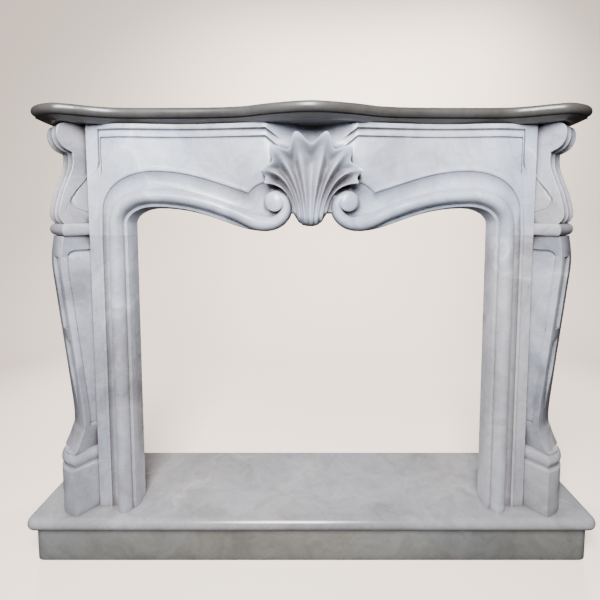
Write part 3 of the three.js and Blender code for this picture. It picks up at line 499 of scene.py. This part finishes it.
def ray_points(zone, t):
    """One ray over the face, from the opening to the frieze's edge, as points (x, z, h)."""
    start, bead = opening_curve(zone, t), bead_curve(zone, t)
    inner, outer, edge, cut = border_at(zone, t, bead)
    inner, outer, edge = np.array(inner), np.array(outer), np.array(edge)
    distance = np.linalg.norm(bead - start)
    gap = np.linalg.norm(inner - bead)
    front = []

    def between(a, b, share, h):
        front.append((*lerp(a, b, share), h))

    fillets = [(ROLL_START, FILLET_PROUD), (ROLL_END, FILLET_PROUD)]
    rising_bead, falling_bead = bead_section(distance)[:4], bead_section(0)[4:]
    for e, h in RETURN_SECTION + fillets + hollow_section(distance) + rising_bead:
        between(start, bead, e / distance, h)
    for e, h in falling_bead:
        between(bead, inner, e / gap, h)
    foot = (BEAD_WIDTH / 2 + 1) / gap
    for share in steps(14):
        between(bead, inner, lerp(foot, 1, share), 0)
    line = [(0.06, -2.6 * cut), (0.2, -BORDER_LINE_STEP * cut), (0.27, -0.3), (0.31, 0)]
    rim = [(0.6, -1.2 * cut), (0.82, -BORDER_STEP * 0.8 * cut), (0.9, -BORDER_STEP * cut), (0.98, -0.3 * cut)]
    for share, h in [*line, *rim, (1.0, 0)]:
        between(inner, outer, share, h)
    for share in (0.35, 0.7, 1.0):
        between(outer, edge, share, 0)
    return [(*start, -JAMB_THICKNESS), *front, (*edge, -JAMB_THICKNESS)]


def bow_at(x):
    near = lerp(BOW_CENTRE, BOW_FLANK, smooth(x, BOW_CENTRE_X, BOW_FLANK_X))
    far = lerp(lerp(BOW_FLANK, BOW_END, smooth(x, BOW_FLANK_X, BOW_END_X)), 0, smooth(x, BOW_END_X, SEAM_X))
    return np.where(x < BOW_FLANK_X, near, far)


def frieze_points(points):
    """Points (x, z, h) put in place: the face bows, and is scooped behind the top of the shell."""
    points = np.array(points, float)
    x, z, h = points[..., 0], points[..., 1], points[..., 2]
    wide = np.abs(x)
    hold = 1 - np.clip(-h / JAMB_THICKNESS, 0, 1)
    high = smooth(z, JOINT_Z, JOINT_Z + BOW_RISE) * smooth(SEAM_X - wide, 0, JAMB_WIDTH)
    centred = 1 - smooth(wide, BOW_CENTRE_X, BOW_FLANK_X)
    near_top = smooth(z, FRIEZE_TOP - SCOOP_HEIGHT, FRIEZE_TOP)
    scoop = SCOOP_DEPTH * (1 - smooth(wide, 0, SCOOP_WIDTH)) * near_top
    y = STILE_Y - h + hold * (scoop - bow_at(wide) * np.maximum(high, centred))
    return np.stack([x, y, z], axis=-1)


def frieze_body():
    rays = []
    for zone, count, _ in ZONES:
        for t in steps(count)[1 if rays else 0:]:
            rays.append(ray_points(zone, t))
    right = np.array(rays)
    left = right[:-1][::-1] * np.array([-1, 1, 1])
    points = frieze_points(np.concatenate([right, left]))
    wide, z = np.abs(points[..., 0]), points[..., 2] - JOINT_Z
    front = points[..., 1] < STILE_Y + JAMB_THICKNESS / 2
    behind_shell = (1 - smooth(wide, *SHELL_BED_SIDES)) * smooth(z, *SHELL_BED_FOOT)
    behind_shell *= 1 - smooth(z, *SHELL_BED_HEAD)
    points[..., 1] += np.where(front, SHELL_BED_DEPTH * behind_shell, 0)
    return loft(points)


def roll_stations():
    path = []
    for zone, _, count in ZONES[:3]:
        for t in steps(count)[1 if path else 0:]:
            path.append((opening_curve(zone, t), smooth(t, 0.6, 1) if zone == "arch" else 0))
    stations = []
    for i, (point, near) in enumerate(path):
        run = path[min(i + 1, len(path) - 1)][0] - path[max(i - 1, 0)][0]
        run /= np.linalg.norm(run)
        stations.append((point, (run[1], -run[0]), lerp(ROLL_START, 1, near),
                         lerp(ROLL_PEAK, VOLUTE_WIDTH * VOLUTE_PEAK_SHARE, near),
                         lerp(ROLL_END, VOLUTE_WIDTH, near), ROLL_PROUD))
    centre = np.array([VOLUTE_X, JOINT_Z + VOLUTE_RISE])
    for t in steps(70)[1:]:
        angle = math.radians(VOLUTE_ENTRY_ANGLE - VOLUTE_SWEEP * t)
        radius = max(VOLUTE_ENTRY_RADIUS * math.exp(-VOLUTE_TIGHTEN * VOLUTE_SWEEP * t), COIL_RADIUS)
        out = np.array([math.cos(angle), math.sin(angle)])
        width = lerp(VOLUTE_WIDTH, VOLUTE_TAIL_WIDTH, t)
        crown = lerp(ROLL_PROUD, FILLET_PROUD, smooth(t, 0.75, 1))
        stations.append((centre + radius * out, tuple(-out), 1, width * VOLUTE_PEAK_SHARE, width, crown))
    return stations


def roll():
    loops = []
    for point, normal, inner, peak, outer, crown in roll_stations():
        section = [roll_point(a, u, inner, peak, outer, 0, crown) for a, u in roll_face(26)]
        section += [(outer - 1, -ROLL_ROOT), (inner + 1, -ROLL_ROOT)]
        loops.append([(point[0] + normal[0] * e, point[1] + normal[1] * e, h) for e, h in section])
    return loft(frieze_points(loops))


def eye():
    profile = [(0.4, EYE_PROUD)]
    for t in steps(12)[1:]:
        angle = t * math.pi / 2
        profile.append((EYE_RADIUS * math.sin(angle), EYE_PROUD - EYE_DOME * (1 - math.cos(angle))))
    profile.append((EYE_RADIUS, -ROLL_ROOT))
    loops = []
    for radius, h in profile:
        loops.append([(VOLUTE_X + radius * math.cos(a), JOINT_Z + VOLUTE_RISE + radius * math.sin(a), h)
                      for a in steps(56)[1:] * 2 * math.pi])
    return loft(frieze_points(loops))


def shell_ridges():
    """Ridges from the hinge to the tip, as the four points of a cubic curve."""
    right = [(*SHELL_CROWN, 0.3, 0.6, 0.68), (*SHELL_SHOULDER, 0.35, 0.3, 0.72),
             (*SHELL_FLANK, 0.5, 0.37, 1.1), (*SHELL_LEAF, 0.54, 0.33, 1.03)]
    left = [(-x, *rest) for x, *rest in right[::-1]]
    curves = []
    for i, (x, rise, climb, out, up) in enumerate(left + right):
        share = i / SHELL_FLUTES - 0.5
        foot = share * SHELL_BASE_WIDTH + SHELL_BASE_SHIFT
        base = SHELL_BASE_RISE + SHELL_BASE_ROUND * abs(2 * share) ** 3
        curves.append([(foot, JOINT_Z + base), (lerp(foot, x, 0.03), JOINT_Z + lerp(base, rise, climb)),
                       (lerp(foot, x, out), JOINT_Z + lerp(base, rise, up)), (x, JOINT_Z + rise)])
    return curves


def shell_front(along, across):
    """How far the shell stands in front of the stile, along its height and across a flute."""
    under = 1 - (1 - np.clip(along / SHELL_FOOT_SHARE, 0, 1)) ** 2
    body = lerp(SHELL_FOOT_PROUD, SHELL_PROUD, math.sqrt(max(under, 0)))
    curl = SHELL_RIM_CURL * smooth(along, *SHELL_CURL_SPAN)
    waist = SHELL_WAIST * smooth(along, *SHELL_WAIST_SPAN)
    depth = lerp(FLUTE_DEPTH_BASE, FLUTE_DEPTH_RIM, smooth(along, *FLUTE_DEPTH_SPAN))
    depth *= 1 - 0.5 * smooth(along, *FLUTE_SHALLOW_SPAN)
    power = lerp(FLUTE_POWER_BASE, FLUTE_POWER_RIM, along)
    return body + curl - waist - depth * max(math.sin(math.pi * across), 0) ** power


def shell():
    ridges = shell_ridges()
    per, rows = SHELL_COLUMNS_PER_FLUTE, SHELL_ROWS
    columns = SHELL_FLUTES * per
    points = []
    for row in range(rows + 1):
        for column in range(columns + 1):
            flute = min(column // per, SHELL_FLUTES - 1)
            across = column / per - flute
            scallop = SCALLOPS[flute] * max(math.sin(math.pi * across), 0) ** SCALLOP_POWER
            along = row / rows * (1 - scallop)
            x, z = lerp(cubic(*ridges[flute], along), cubic(*ridges[flute + 1], along), across)
            points.append((x, STILE_Y - shell_front(row / rows, across), z))
    stride = columns + 1
    faces = []
    for row in range(rows):
        for column in range(columns):
            a = row * stride + column
            faces.append((a, a + 1, a + 1 + stride, a + stride))
    rim = list(range(columns)) + [row * stride + columns for row in range(rows)]
    rim += [rows * stride + column for column in range(columns, 0, -1)]
    rim += [row * stride for row in range(rows, 0, -1)]
    first = len(points)
    points += [(points[i][0], STILE_Y + JAMB_THICKNESS - SHELL_ROOT, points[i][2]) for i in rim]
    for k, i in enumerate(rim):
        nxt = (k + 1) % len(rim)
        faces.append((rim[nxt], i, first + k, first + nxt))
    faces.append(tuple(first + k for k in range(len(rim)))[::-1])
    return outward(np.array(points), faces)


def frieze():
    coil, dome = roll(), eye()
    return join(frieze_body(), coil, mirrored(coil), dome, mirrored(dome), shell())


# Canted legs and consoles
def canted(reach, across, z):
    return SEAM_X + CANT * (reach + across), STILE_Y + CANT * (across - reach), z


def clear_of_seam(vertices):
    """Keeps a shape outside the seam plane and in front of the wall."""
    out = np.array(vertices, float)
    out[:, 0] = np.maximum(out[:, 0], SEAM_X + JOINT / 2)
    out[:, 1] = np.minimum(out[:, 1], WALL_Y)
    return out


def inset_outline(front, inset, low, high):
    moved = []
    for i, (reach, z) in enumerate(front):
        before, after = front[max(i - 1, 0)], front[min(i + 1, len(front) - 1)]
        length = math.hypot(after[0] - before[0], after[1] - before[1]) or 1
        moved.append((reach - inset * (after[1] - before[1]) / length,
                      min(max(z + inset * (after[0] - before[0]) / length, low), high)))
    return [(-CANT_BACK, low), *moved, (-CANT_BACK, high)]


def both_sides(half):
    """Stations across the canted face, from those of one half."""
    return half + [(CANT_WIDTH - across, inset) for across, inset in half[::-1]]


def cove_stations():
    """Across the canted face: arris, fillet, cove, flat ridge, cove, fillet, arris."""
    start, end = EDGE_FILLET + 1, lerp(EDGE_FILLET, CANT_WIDTH / 2, 0.86)
    half = [*ARRIS, (EDGE_FILLET, 0), (EDGE_FILLET + 0.6, 1)]
    for t in steps(8):
        sunk = (COVE_DEPTH - 1) * math.sin(math.pi * t) ** 0.8 if 0 < t < 1 else 0
        half.append((lerp(start, end, t), 1 + sunk))
    half += [(end + 0.6, 0), (end + 2.5, -0.4)]
    return both_sides(half)


def canted_solid(front, stations, low, high):
    return loft([[canted(reach, across, z) for reach, z in inset_outline(front, inset, low, high)]
                 for across, inset in stations])


def wall_return(low, high):
    outer = SEAM_X + CANT * CANT_WIDTH - RETURN_INSET
    front = STILE_Y + CANT * CANT_WIDTH - 2 * RETURN_INSET
    return box(outer - RETURN_THICKNESS, outer, front, WALL_Y, low, high)


def leg_profile():
    ankle, knee = SLAB_TOP + ANKLE_HEIGHT, SLAB_TOP + KNEE_HEIGHT
    foot_top = SLAB_TOP + FOOT_HEIGHT + FOOT_GROOVE + FOOT_TORUS + FOOT_FILLET
    return spline([
        (FOOT_REACH - 6, foot_top),
        (lerp(ANKLE_REACH, FOOT_REACH, 0.25), lerp(foot_top, ankle, 0.48)),
        (ANKLE_REACH, ankle),
        (lerp(ANKLE_REACH, KNEE_REACH, 0.32), lerp(ankle, knee, 0.34)),
        (lerp(ANKLE_REACH, KNEE_REACH, 0.8), lerp(ankle, knee, 0.78)),
        (KNEE_REACH, knee),
        (LEG_TOP_REACH, JOINT_Z - JOINT / 2),
    ], 90)


def reach_at(profile, z):
    return float(np.interp(z, profile[:, 1], profile[:, 0]))


def foot_plan(inset, z):
    low, high = -FOOT_SIDE_PROUD + inset, CANT_WIDTH + FOOT_SIDE_PROUD - inset
    points = [(-CANT_BACK / 2, low)]
    for t in steps(30):
        points.append((FOOT_REACH - inset + FOOT_BULGE * math.sin(math.pi * t), lerp(low, high, t)))
    points.append((-CANT_BACK / 2, high))
    return [canted(reach, across, 0)[:2] for reach, across in points]


def foot():
    block = SLAB_TOP + FOOT_HEIGHT
    torus = block + FOOT_GROOVE
    top = torus + FOOT_TORUS
    layers = [(SLAB_TOP + JOINT, 0.4), (SLAB_TOP + 1.5, 0), (block - 5, 0), (block - 3, 0.5),
              (block - 1, 2.4), (block, 4.5), (block + 1.5, 7), (torus - 0.5, 7)]
    layers += [(lerp(torus, top, t), 6 - 6 * math.sin(math.pi * t)) for t in steps(18)]
    layers += [(top + 1, 8), (top + FOOT_FILLET - 2, 8), (top + FOOT_FILLET, 9.5)]
    return stack(foot_plan, layers)


def side_panel(outline):
    """What is cut away for a sunken panel on a block's inner side, from its outline (reach, z)."""
    middle = np.mean(outline, axis=0)

    def loop_at(inset, across):
        loop = []
        for p in np.array(outline, float):
            away = np.linalg.norm(p - middle)
            reach, z = lerp(middle, p, 1 - min(inset / away, 0.8))
            loop.append(canted(reach, across, z))
        return loop

    rows = [(0, -CUTTER_CLEARANCE), (0, 0)] + [(inset, PANEL_DEPTH * share) for inset, share in PANEL_SECTION]
    return loft([loop_at(inset, across) for inset, across in rows])


def corner_back(z, top):
    """How far a panel's rounded upper corner draws its edge back at height z."""
    rise = max(z - (top - PANEL_CORNER_RADIUS), 0)
    return PANEL_CORNER_RADIUS - math.sqrt(max(PANEL_CORNER_RADIUS ** 2 - rise ** 2, 0))


def leg_panel(profile):
    low, high = SLAB_TOP + LEG_PANEL_BOTTOM, SLAB_TOP + LEG_PANEL_TOP
    straight = lerp(low, high - PANEL_CORNER_RADIUS, steps(40))
    rounded = high - PANEL_CORNER_RADIUS * np.cos(steps(8)[1:] * math.pi / 2)
    edge = []
    for z in np.concatenate([straight, rounded]):
        reach = reach_at(profile, z) - LEG_PANEL_MARGIN - corner_back(z, high)
        edge.append((max(reach, PANEL_LEAST_REACH), z))
    return side_panel([(PANEL_BACK, low), *edge, (PANEL_BACK, high)])


def leg_strip(profile, start, end):
    """One length of the sunken strip on the leg's front, narrower towards the ankle."""
    loops = []
    for height in lerp(start, end, steps(30)):
        z = SLAB_TOP + height
        widening = smooth(height, STRIP_BOTTOM, STRIP_BOTTOM + STRIP_TAPER)
        half = STRIP_HALF_WIDTH * lerp(STRIP_POINT, 1, widening)
        floor, clear = reach_at(profile, z) - STRIP_DEPTH, reach_at(profile, z) + STRIP_HALF_WIDTH
        corners = ((floor, -half * 0.85), (clear, -half * 1.15), (clear, half * 1.15), (floor, half * 0.85))
        loops.append([canted(out, CANT_WIDTH / 2 + across, z) for out, across in corners])
    return loft(loops)


def leg():
    profile = leg_profile()
    low, high = SLAB_TOP + JOINT, JOINT_Z - JOINT / 2
    shaft = canted_solid([tuple(p) for p in profile], both_sides(ARRIS), profile[0][1], high)
    lower = leg_strip(profile, STRIP_BOTTOM, STRIP_BRIDGE - STRIP_BRIDGE_LENGTH / 2)
    upper = leg_strip(profile, STRIP_BRIDGE + STRIP_BRIDGE_LENGTH / 2, STRIP_TOP)
    whole = carve(shaft, [leg_panel(profile), lower, upper])
    vertices, faces = join(whole, foot(), wall_return(low, high))
    return clear_of_seam(vertices), faces


def console_profile(low):
    neck, belly, scroll = JOINT_Z + NECK_HEIGHT, JOINT_Z + BELLY_HEIGHT, JOINT_Z + SCROLL_HEIGHT
    top = FRIEZE_TOP - JOINT / 2
    lower = spline([
        (RING_REACH, low),
        (BELLY_REACH - 3, lerp(low, belly, 0.4)),
        (BELLY_REACH, belly),
        (lerp(NECK_REACH, BELLY_REACH, 0.7), lerp(belly, neck, 0.31)),
        (lerp(NECK_REACH, BELLY_REACH, 0.36), lerp(belly, neck, 0.53)),
        (NECK_REACH + 1, lerp(belly, neck, 0.78)),
        (NECK_REACH, neck),
    ], 60)
    upper = spline([
        (NECK_REACH, neck),
        (lerp(NECK_REACH, SCROLL_REACH, 0.55), lerp(neck, scroll, 0.22)),
        (lerp(NECK_REACH, SCROLL_REACH, 0.88), lerp(neck, scroll, 0.56)),
        (SCROLL_REACH, scroll),
        (lerp(NECK_REACH, SCROLL_REACH, 0.85), lerp(scroll, top, 0.7)),
        (lerp(NECK_REACH, SCROLL_REACH, 0.45), top),
    ], 50)
    return [tuple(p) for p in np.concatenate([lower, upper[1:]])]


def ring():
    low, radius = JOINT_Z + JOINT / 2, RING_HEIGHT / 2

    def plan(inset, z):
        corners = [(-CANT_BACK / 2, inset), (RING_REACH - inset, inset),
                   (RING_REACH - inset, CANT_WIDTH - inset), (-CANT_BACK / 2, CANT_WIDTH - inset)]
        return [canted(reach, across, 0)[:2] for reach, across in corners]

    layers = []
    for t in steps(24):
        angle = math.pi * (t - 0.5)
        layers.append((low + radius + radius * math.sin(angle), -RING_PROUD * math.cos(angle)))
    return stack(plan, layers)


def console():
    low, high = JOINT_Z + JOINT / 2, FRIEZE_TOP - JOINT / 2
    start = low + RING_HEIGHT - RING_OVERLAP
    bracket = canted_solid(console_profile(start), cove_stations(), start, high)
    neck, belly = JOINT_Z + NECK_HEIGHT, JOINT_Z + BELLY_HEIGHT
    tear = spline([
        (PANEL_BACK, lerp(belly, neck, 0.72)),
        (7, lerp(belly, neck, 0.54)),
        (BELLY_REACH - 39, lerp(belly, neck, 0.33)),
        (BELLY_REACH - 28, lerp(belly, neck, 0.2)),
        (BELLY_REACH - 31, lerp(belly, neck, 0.09)),
        (28, belly + 1),
        (PANEL_BACK, belly - 8),
    ], 60)
    vertices, faces = join(carve(bracket, [side_panel(tear)]), ring(), wall_return(low, high))
    return clear_of_seam(vertices), faces


# Shelf
def shelf_edge(z):
    edge = SLAB_FRONT_Y
    cut_back = SHELF_LIP_CUT * (1 - smooth(z, FRIEZE_TOP, SHELF_TOP - SHELF_BULLNOSE))
    tip = SHELF_WIDTH / 2
    bow = spline([
        (-SHELF_BOW_X * 0.35, edge - SHELF_BOW_FORWARD * 0.68),
        (0, edge - SHELF_BOW_FORWARD),
        (SHELF_BOW_X * 0.35, edge - SHELF_BOW_FORWARD * 0.68),
        (SHELF_BOW_X * 0.7, edge - SHELF_BOW_FORWARD * 0.08),
        (SHELF_BOW_X, edge + SHELF_FLANK_BACK * 0.55),
        (SHELF_BOW_X * 1.45, edge + SHELF_FLANK_BACK * 0.9),
        (SHELF_BOW_X * 2.1, edge + SHELF_FLANK_BACK),
        (SHELF_NOSE_X * 0.78, edge + SHELF_FLANK_BACK * 0.97),
        (SHELF_NOSE_X * 0.87, edge + SHELF_FLANK_BACK * 0.6),
        (SHELF_NOSE_X * 0.94, edge),
        (SHELF_NOSE_X, edge - SHELF_NOSE_FORWARD),
        (SHELF_NOSE_X * 1.06, edge - SHELF_NOSE_FORWARD * 0.6),
    ], 190)
    bow = bow[bow[:, 0] < SHELF_NOSE_X]
    nose, end = (SHELF_NOSE_X, edge - SHELF_NOSE_FORWARD), (tip, edge + SHELF_TIP_BACK + cut_back)
    forward = (lerp(nose[0], tip, 0.3), nose[1])
    sideways = (lerp(nose[0], tip, 0.75), lerp(nose[1], end[1], 0.4))
    corner = [tuple(cubic(nose, forward, sideways, end, t)) for t in steps(24)[1:]]
    right_of_middle = [tuple(p) for p in bow if p[0] > 1e-6]
    return [(0, edge - SHELF_BOW_FORWARD), *right_of_middle, *corner, (tip, WALL_Y)]


def shelf_plan(inset, z):
    edge = np.array(shelf_edge(z))
    right = []
    for i, p in enumerate(edge):
        after = edge[i + 1] - p if i + 1 < len(edge) else p - edge[i - 1]
        before = p - edge[i - 1] if i else after * np.array([1, -1])
        before, after = before / np.linalg.norm(before), after / np.linalg.norm(after)
        normal = np.array([-(before[1] + after[1]), before[0] + after[0]])
        turn = (before @ after + 1) / 2
        moved = p + normal / np.linalg.norm(normal) * inset / math.sqrt(turn)
        right.append((max(moved[0], 0), WALL_Y if i + 1 == len(edge) else moved[1]))
    front = [(-x, y) for x, y in right[:0:-1]][1:] + right[:-1]
    return front + [(x, WALL_Y) for x, y in front[::-1]]


def shelf():
    quirk = SHELF_TOP - SHELF_BULLNOSE
    radius = SHELF_BULLNOSE / 2
    lip = quirk - FRIEZE_TOP - 3
    slant = ((JOINT / 2, 19), (1.2, 16), (3.4, 12), (5.5, 8.5), (3 + lip * 0.75, 3))
    layers = [(FRIEZE_TOP + rise, SHELF_LIP_INSET + back) for rise, back in slant]
    layers += [(quirk - 1.8, SHELF_LIP_INSET + 1), (quirk - 1.0, SHELF_LIP_INSET + 3),
               (quirk - 0.6, SHELF_QUIRK + 6)]
    for t in steps(20):
        angle = math.radians(-90 + 180 * t)
        height, depth = NOSE_ABOVE if angle > 0 else NOSE_BELOW
        layers.append((quirk + radius * NOSE_BELOW[0] + radius * height * math.sin(angle),
                       radius * (1 - math.cos(angle)) * depth + LEAST_INSET))
    vertices, faces = stack(shelf_plan, layers)
    size = len(shelf_plan(0, FRIEZE_TOP))
    faces = [face for face in faces if len(face) == 4]
    for first, turn in ((0, 1), ((len(layers) - 1) * size, -1)):
        for i in range(size // 2 - 1):
            faces.append((first + i, first + i + 1, first + size - 2 - i, first + size - 1 - i)[::turn])
    return vertices, faces


# Materials
def new_material(name):
    """A material and the inputs of its surface."""
    material = bpy.data.materials.new(name)
    material.use_nodes = True
    return material, material.node_tree.nodes["Principled BSDF"].inputs


def node(nodes, kind, **values):
    made = nodes.new(kind)
    for key, value in values.items():
        if key in made.bl_rna.properties:
            setattr(made, key, value)
        else:
            made.inputs[key].default_value = value
    return made


def grey(value):
    return value, value, value


def ramp(nodes, links, value, stops):
    """The colour that the stops (place, colour) give a value."""
    made = nodes.new("ShaderNodeValToRGB")
    line = made.color_ramp
    while len(line.elements) < len(stops):
        line.elements.new(0.5)
    for element, (place, color) in zip(line.elements, stops):
        element.position = place
        element.color = (*color, 1)
    links.new(value, made.inputs["Fac"])
    return made.outputs["Color"]


def mix(nodes, links, kind, factor, a, b):
    made = nodes.new("ShaderNodeMix")
    made.data_type = "RGBA"
    made.blend_type = kind
    for socket, value in ((made.inputs[0], factor), (made.inputs[6], a), (made.inputs[7], b)):
        if isinstance(value, (int, float)):
            socket.default_value = value
        elif isinstance(value, tuple):
            socket.default_value = (*value, 1)
        else:
            links.new(value, socket)
    return made.outputs[2]


def marble(name, tones, shift, rough=0.27):
    """Polished stone: clouds of two tones, pale veins, faint brown threads, grain, and painted shade that
    browns the recesses.
    """
    dark, light, vein = tones
    material, surface = new_material(name)
    nodes, links = material.node_tree.nodes, material.node_tree.links

    def texture(kind, vector, **values):
        made = node(nodes, kind, **values)
        links.new(vector, made.inputs["Vector"])
        return made.outputs

    def noise(vector, **values):
        return texture("ShaderNodeTexNoise", vector, **values)["Fac"]

    def cracks(scale):
        return texture("ShaderNodeTexVoronoi", bent, feature="DISTANCE_TO_EDGE", Scale=scale)["Distance"]

    def tint(value, *stops):
        return ramp(nodes, links, value, stops)

    def times(a, b):
        return mix(nodes, links, "MULTIPLY", 1.0, a, b)

    place = node(nodes, "ShaderNodeTexCoord")
    move = node(nodes, "ShaderNodeMapping")
    move.inputs["Location"].default_value = shift
    move.inputs["Rotation"].default_value = (0.4, 0.7, 0.3)
    links.new(place.outputs["Object"], move.inputs["Vector"])
    at = move.outputs["Vector"]
    bend = nodes.new("ShaderNodeMix")
    bend.data_type = "VECTOR"
    bend.inputs[0].default_value = 0.22
    links.new(at, bend.inputs[4])
    warp = texture("ShaderNodeTexNoise", at, Scale=3.0, Detail=5.0, Roughness=0.55)
    links.new(warp["Color"], bend.inputs[5])
    bent = bend.outputs[1]

    clouds = noise(bent, Scale=4.5, Detail=9.0, Roughness=0.6, Distortion=0.5)
    between = lerp(np.array(dark), np.array(light), 0.6)
    color = tint(clouds, (0.34, dark), (0.48, between), (0.6, light))
    drift = noise(bent, Scale=2.6, Detail=6.0, Roughness=0.6)
    color = times(color, tint(drift, (0.42, (0.96, 0.98, 1.0)), (0.60, (1.0, 0.955, 0.90))))
    mottle = noise(bent, Scale=26.0, Detail=7.0, Roughness=0.65, Distortion=0.6)
    color = times(color, tint(mottle, (0.36, (0.84, 0.83, 0.815)), (0.56, grey(1))))

    lines = tint(cracks(3.1), (0.0, grey(0.75)), (0.012, grey(0.28)), (0.06, grey(0)))
    breaks = tint(noise(at, Scale=2.3, Detail=3.0), (0.49, grey(0)), (0.64, grey(0.8)))
    color = mix(nodes, links, "MIX", times(lines, breaks), color, vein)
    threads = tint(cracks(7.0), (0.0, grey(0.28)), (0.016, grey(0)))
    color = mix(nodes, links, "MIX", threads, color, (dark[0] * 0.95, dark[1] * 0.82, dark[2] * 0.68))

    grain = noise(at, Scale=140.0, Detail=4.0)
    color = times(color, tint(grain, (0.3, grey(0.93)), (0.6, grey(1))))
    # Painted shade: an ambient occlusion node darkens and browns the colour in creases, recesses and where
    # parts meet
    recess = node(nodes, "ShaderNodeAmbientOcclusion", samples=6, Distance=0.035).outputs["AO"]
    painted_recess_shade = tint(recess, (0.28, (0.40, 0.35, 0.32)), (0.5, (0.80, 0.78, 0.77)), (0.78, grey(1)))
    links.new(times(color, painted_recess_shade), surface["Base Color"])

    gloss = node(nodes, "ShaderNodeMapRange")
    gloss.inputs["To Min"].default_value = rough - 0.05
    gloss.inputs["To Max"].default_value = rough + 0.08
    links.new(clouds, gloss.inputs["Value"])
    links.new(gloss.outputs["Result"], surface["Roughness"])
    bump = node(nodes, "ShaderNodeBump", Strength=0.06, Distance=0.001)
    links.new(grain, bump.inputs["Height"])
    links.new(bump.outputs["Normal"], surface["Normal"])
    return material


# Tones of the stone: dark, light, veins
VEIN = (0.58, 0.58, 0.60)
RISER_TONES = ((0.10, 0.099, 0.094), (0.142, 0.14, 0.134), (0.155, 0.152, 0.146))
SLAB_TONES = ((0.18, 0.175, 0.183), (0.25, 0.245, 0.254), (0.40, 0.39, 0.385))
FRIEZE_TONES = ((0.21, 0.226, 0.275), (0.345, 0.366, 0.435), VEIN)
SIDE_TONES = ((0.165, 0.17, 0.197), (0.315, 0.32, 0.36), VEIN)
SHELF_TONES = ((0.034, 0.032, 0.030), (0.056, 0.053, 0.050), (0.064, 0.061, 0.058))

# Shape, stone and slot of each piece
PIECES = {
    "hearth_riser": (riser(), marble("marble_riser", RISER_TONES, (1.3, 0.2, 4.1), 0.34), "marble_riser"),
    "hearth_slab": (slab(), marble("marble_slab", SLAB_TONES, (0.4, 2.2, 1.9), 0.2), "marble"),
    "frieze": (frieze(), marble("marble_frieze", FRIEZE_TONES, (3.1, 0.7, 0.2)), "marble"),
    "shelf": (shelf(), marble("marble_shelf", SHELF_TONES, (5.3, 1.1, 2.2), 0.28), "marble_shelf"),
}
for hand, shift in (("left", 0.0), ("right", 6.0)):
    for part, make, offset in (("jamb", jamb, 0.3), ("leg", leg, 1.7), ("console", console, 2.9)):
        shape = mirrored(make()) if hand == "left" else make()
        finish = marble(f"marble_{hand}_{part}", SIDE_TONES, (shift + offset, offset * 2, shift))
        PIECES[f"{hand}_{part}"] = (shape, finish, "marble")

for name, (shape, finish, slot) in PIECES.items():
    obj = make_object(f"stone_{name}", shape)
    obj.data.materials.append(finish)
    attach(obj, "root")
    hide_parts(name)

# Floor and backdrop in one sweep, in metres: the floor lies a little below the hearth
FLOOR_DROP = 0.0005
SWEEP_HALF_WIDTH = 5
SWEEP_FRONT, SWEEP_BEND, SWEEP_RADIUS, SWEEP_TOP = -2.6, 1.4, 0.9, 3.6
sweep = [(SWEEP_FRONT, 0.0)]
sweep += [(SWEEP_BEND + SWEEP_RADIUS * math.sin(a), SWEEP_RADIUS - SWEEP_RADIUS * math.cos(a))
          for a in steps(24) * math.pi / 2]
sweep += [(SWEEP_BEND + SWEEP_RADIUS, SWEEP_TOP)]
verts = [(x, y, z - FLOOR_DROP) for x in (-SWEEP_HALF_WIDTH, SWEEP_HALF_WIDTH) for y, z in sweep]
count = len(sweep)
mesh = bpy.data.meshes.new("backdrop")
mesh.from_pydata(verts, [], [(i, i + count, i + count + 1, i + 1) for i in range(count - 1)])
backdrop = bpy.data.objects.new("backdrop", mesh)
bpy.context.scene.collection.objects.link(backdrop)
for polygon in mesh.polygons:
    polygon.use_smooth = True
paint, coat = new_material("backdrop_paint")
coat["Base Color"].default_value = (0.80, 0.66, 0.55, 1)
coat["Roughness"].default_value = 0.9
coat["Emission Color"].default_value = (1.0, 0.84, 0.73, 1)
coat["Emission Strength"].default_value = 0.62
mesh.materials.append(paint)
backdrop.visible_diffuse = False
backdrop.visible_glossy = False


def area_light(name, place, target, size, power, color, spread, mirrored_in_stone=True):
    light = bpy.data.lights.new(name, "AREA")
    light.shape = "RECTANGLE"
    light.size, light.size_y = size
    light.energy = power
    light.color = color
    light.spread = math.radians(spread)
    obj = bpy.data.objects.new(name, light)
    obj.location = place
    obj.rotation_euler = (Vector(target) - Vector(place)).to_track_quat("-Z", "Y").to_euler()
    obj.visible_camera = False
    obj.visible_glossy = mirrored_in_stone
    bpy.context.scene.collection.objects.link(obj)


area_light("key", place=(-0.2, -1.75, 2.0), target=(0, -0.1, 0.95), size=(0.8, 1.5), power=212,
           color=(0.97, 0.98, 1.0), spread=160)
area_light("wall_wash", place=(0.5, 1.0, 2.9), target=(0.3, 2.3, 1.1), size=(2.6, 0.6), power=85,
           color=(1.0, 0.96, 0.92), spread=95)
for side in (-1, 1):
    area_light(f"back_fill_{side}", place=(side * 2.0, 1.95, 1.3), target=(0, 0.1, 0.7), size=(0.5, 0.9),
               power=34, color=(1.0, 0.97, 0.94), spread=100, mirrored_in_stone=False)
world = bpy.data.worlds.new("studio")
world.use_nodes = True
sky = world.node_tree.nodes["Background"].inputs
sky["Color"].default_value = (0.90, 0.80, 0.72, 1)
sky["Strength"].default_value = 0.055
bpy.context.scene.world = world

# Camera
CAMERA_DISTANCE = 1121
CAMERA_HEIGHT = 0.975
CAMERA_TILT = 4.43
camera_data = bpy.data.cameras.new("view")
camera_data.sensor_width = 36
camera_data.lens = 25.8
camera_data.shift_x = -0.0192
camera_data.shift_y = -0.0912
camera = bpy.data.objects.new("view", camera_data)
camera.location = (0, (SLAB_FRONT_Y - CAMERA_DISTANCE) / 1000, CAMERA_HEIGHT)
camera.rotation_euler = (math.radians(90 - CAMERA_TILT), 0, 0)
bpy.context.scene.collection.objects.link(camera)
bpy.context.scene.camera = camera
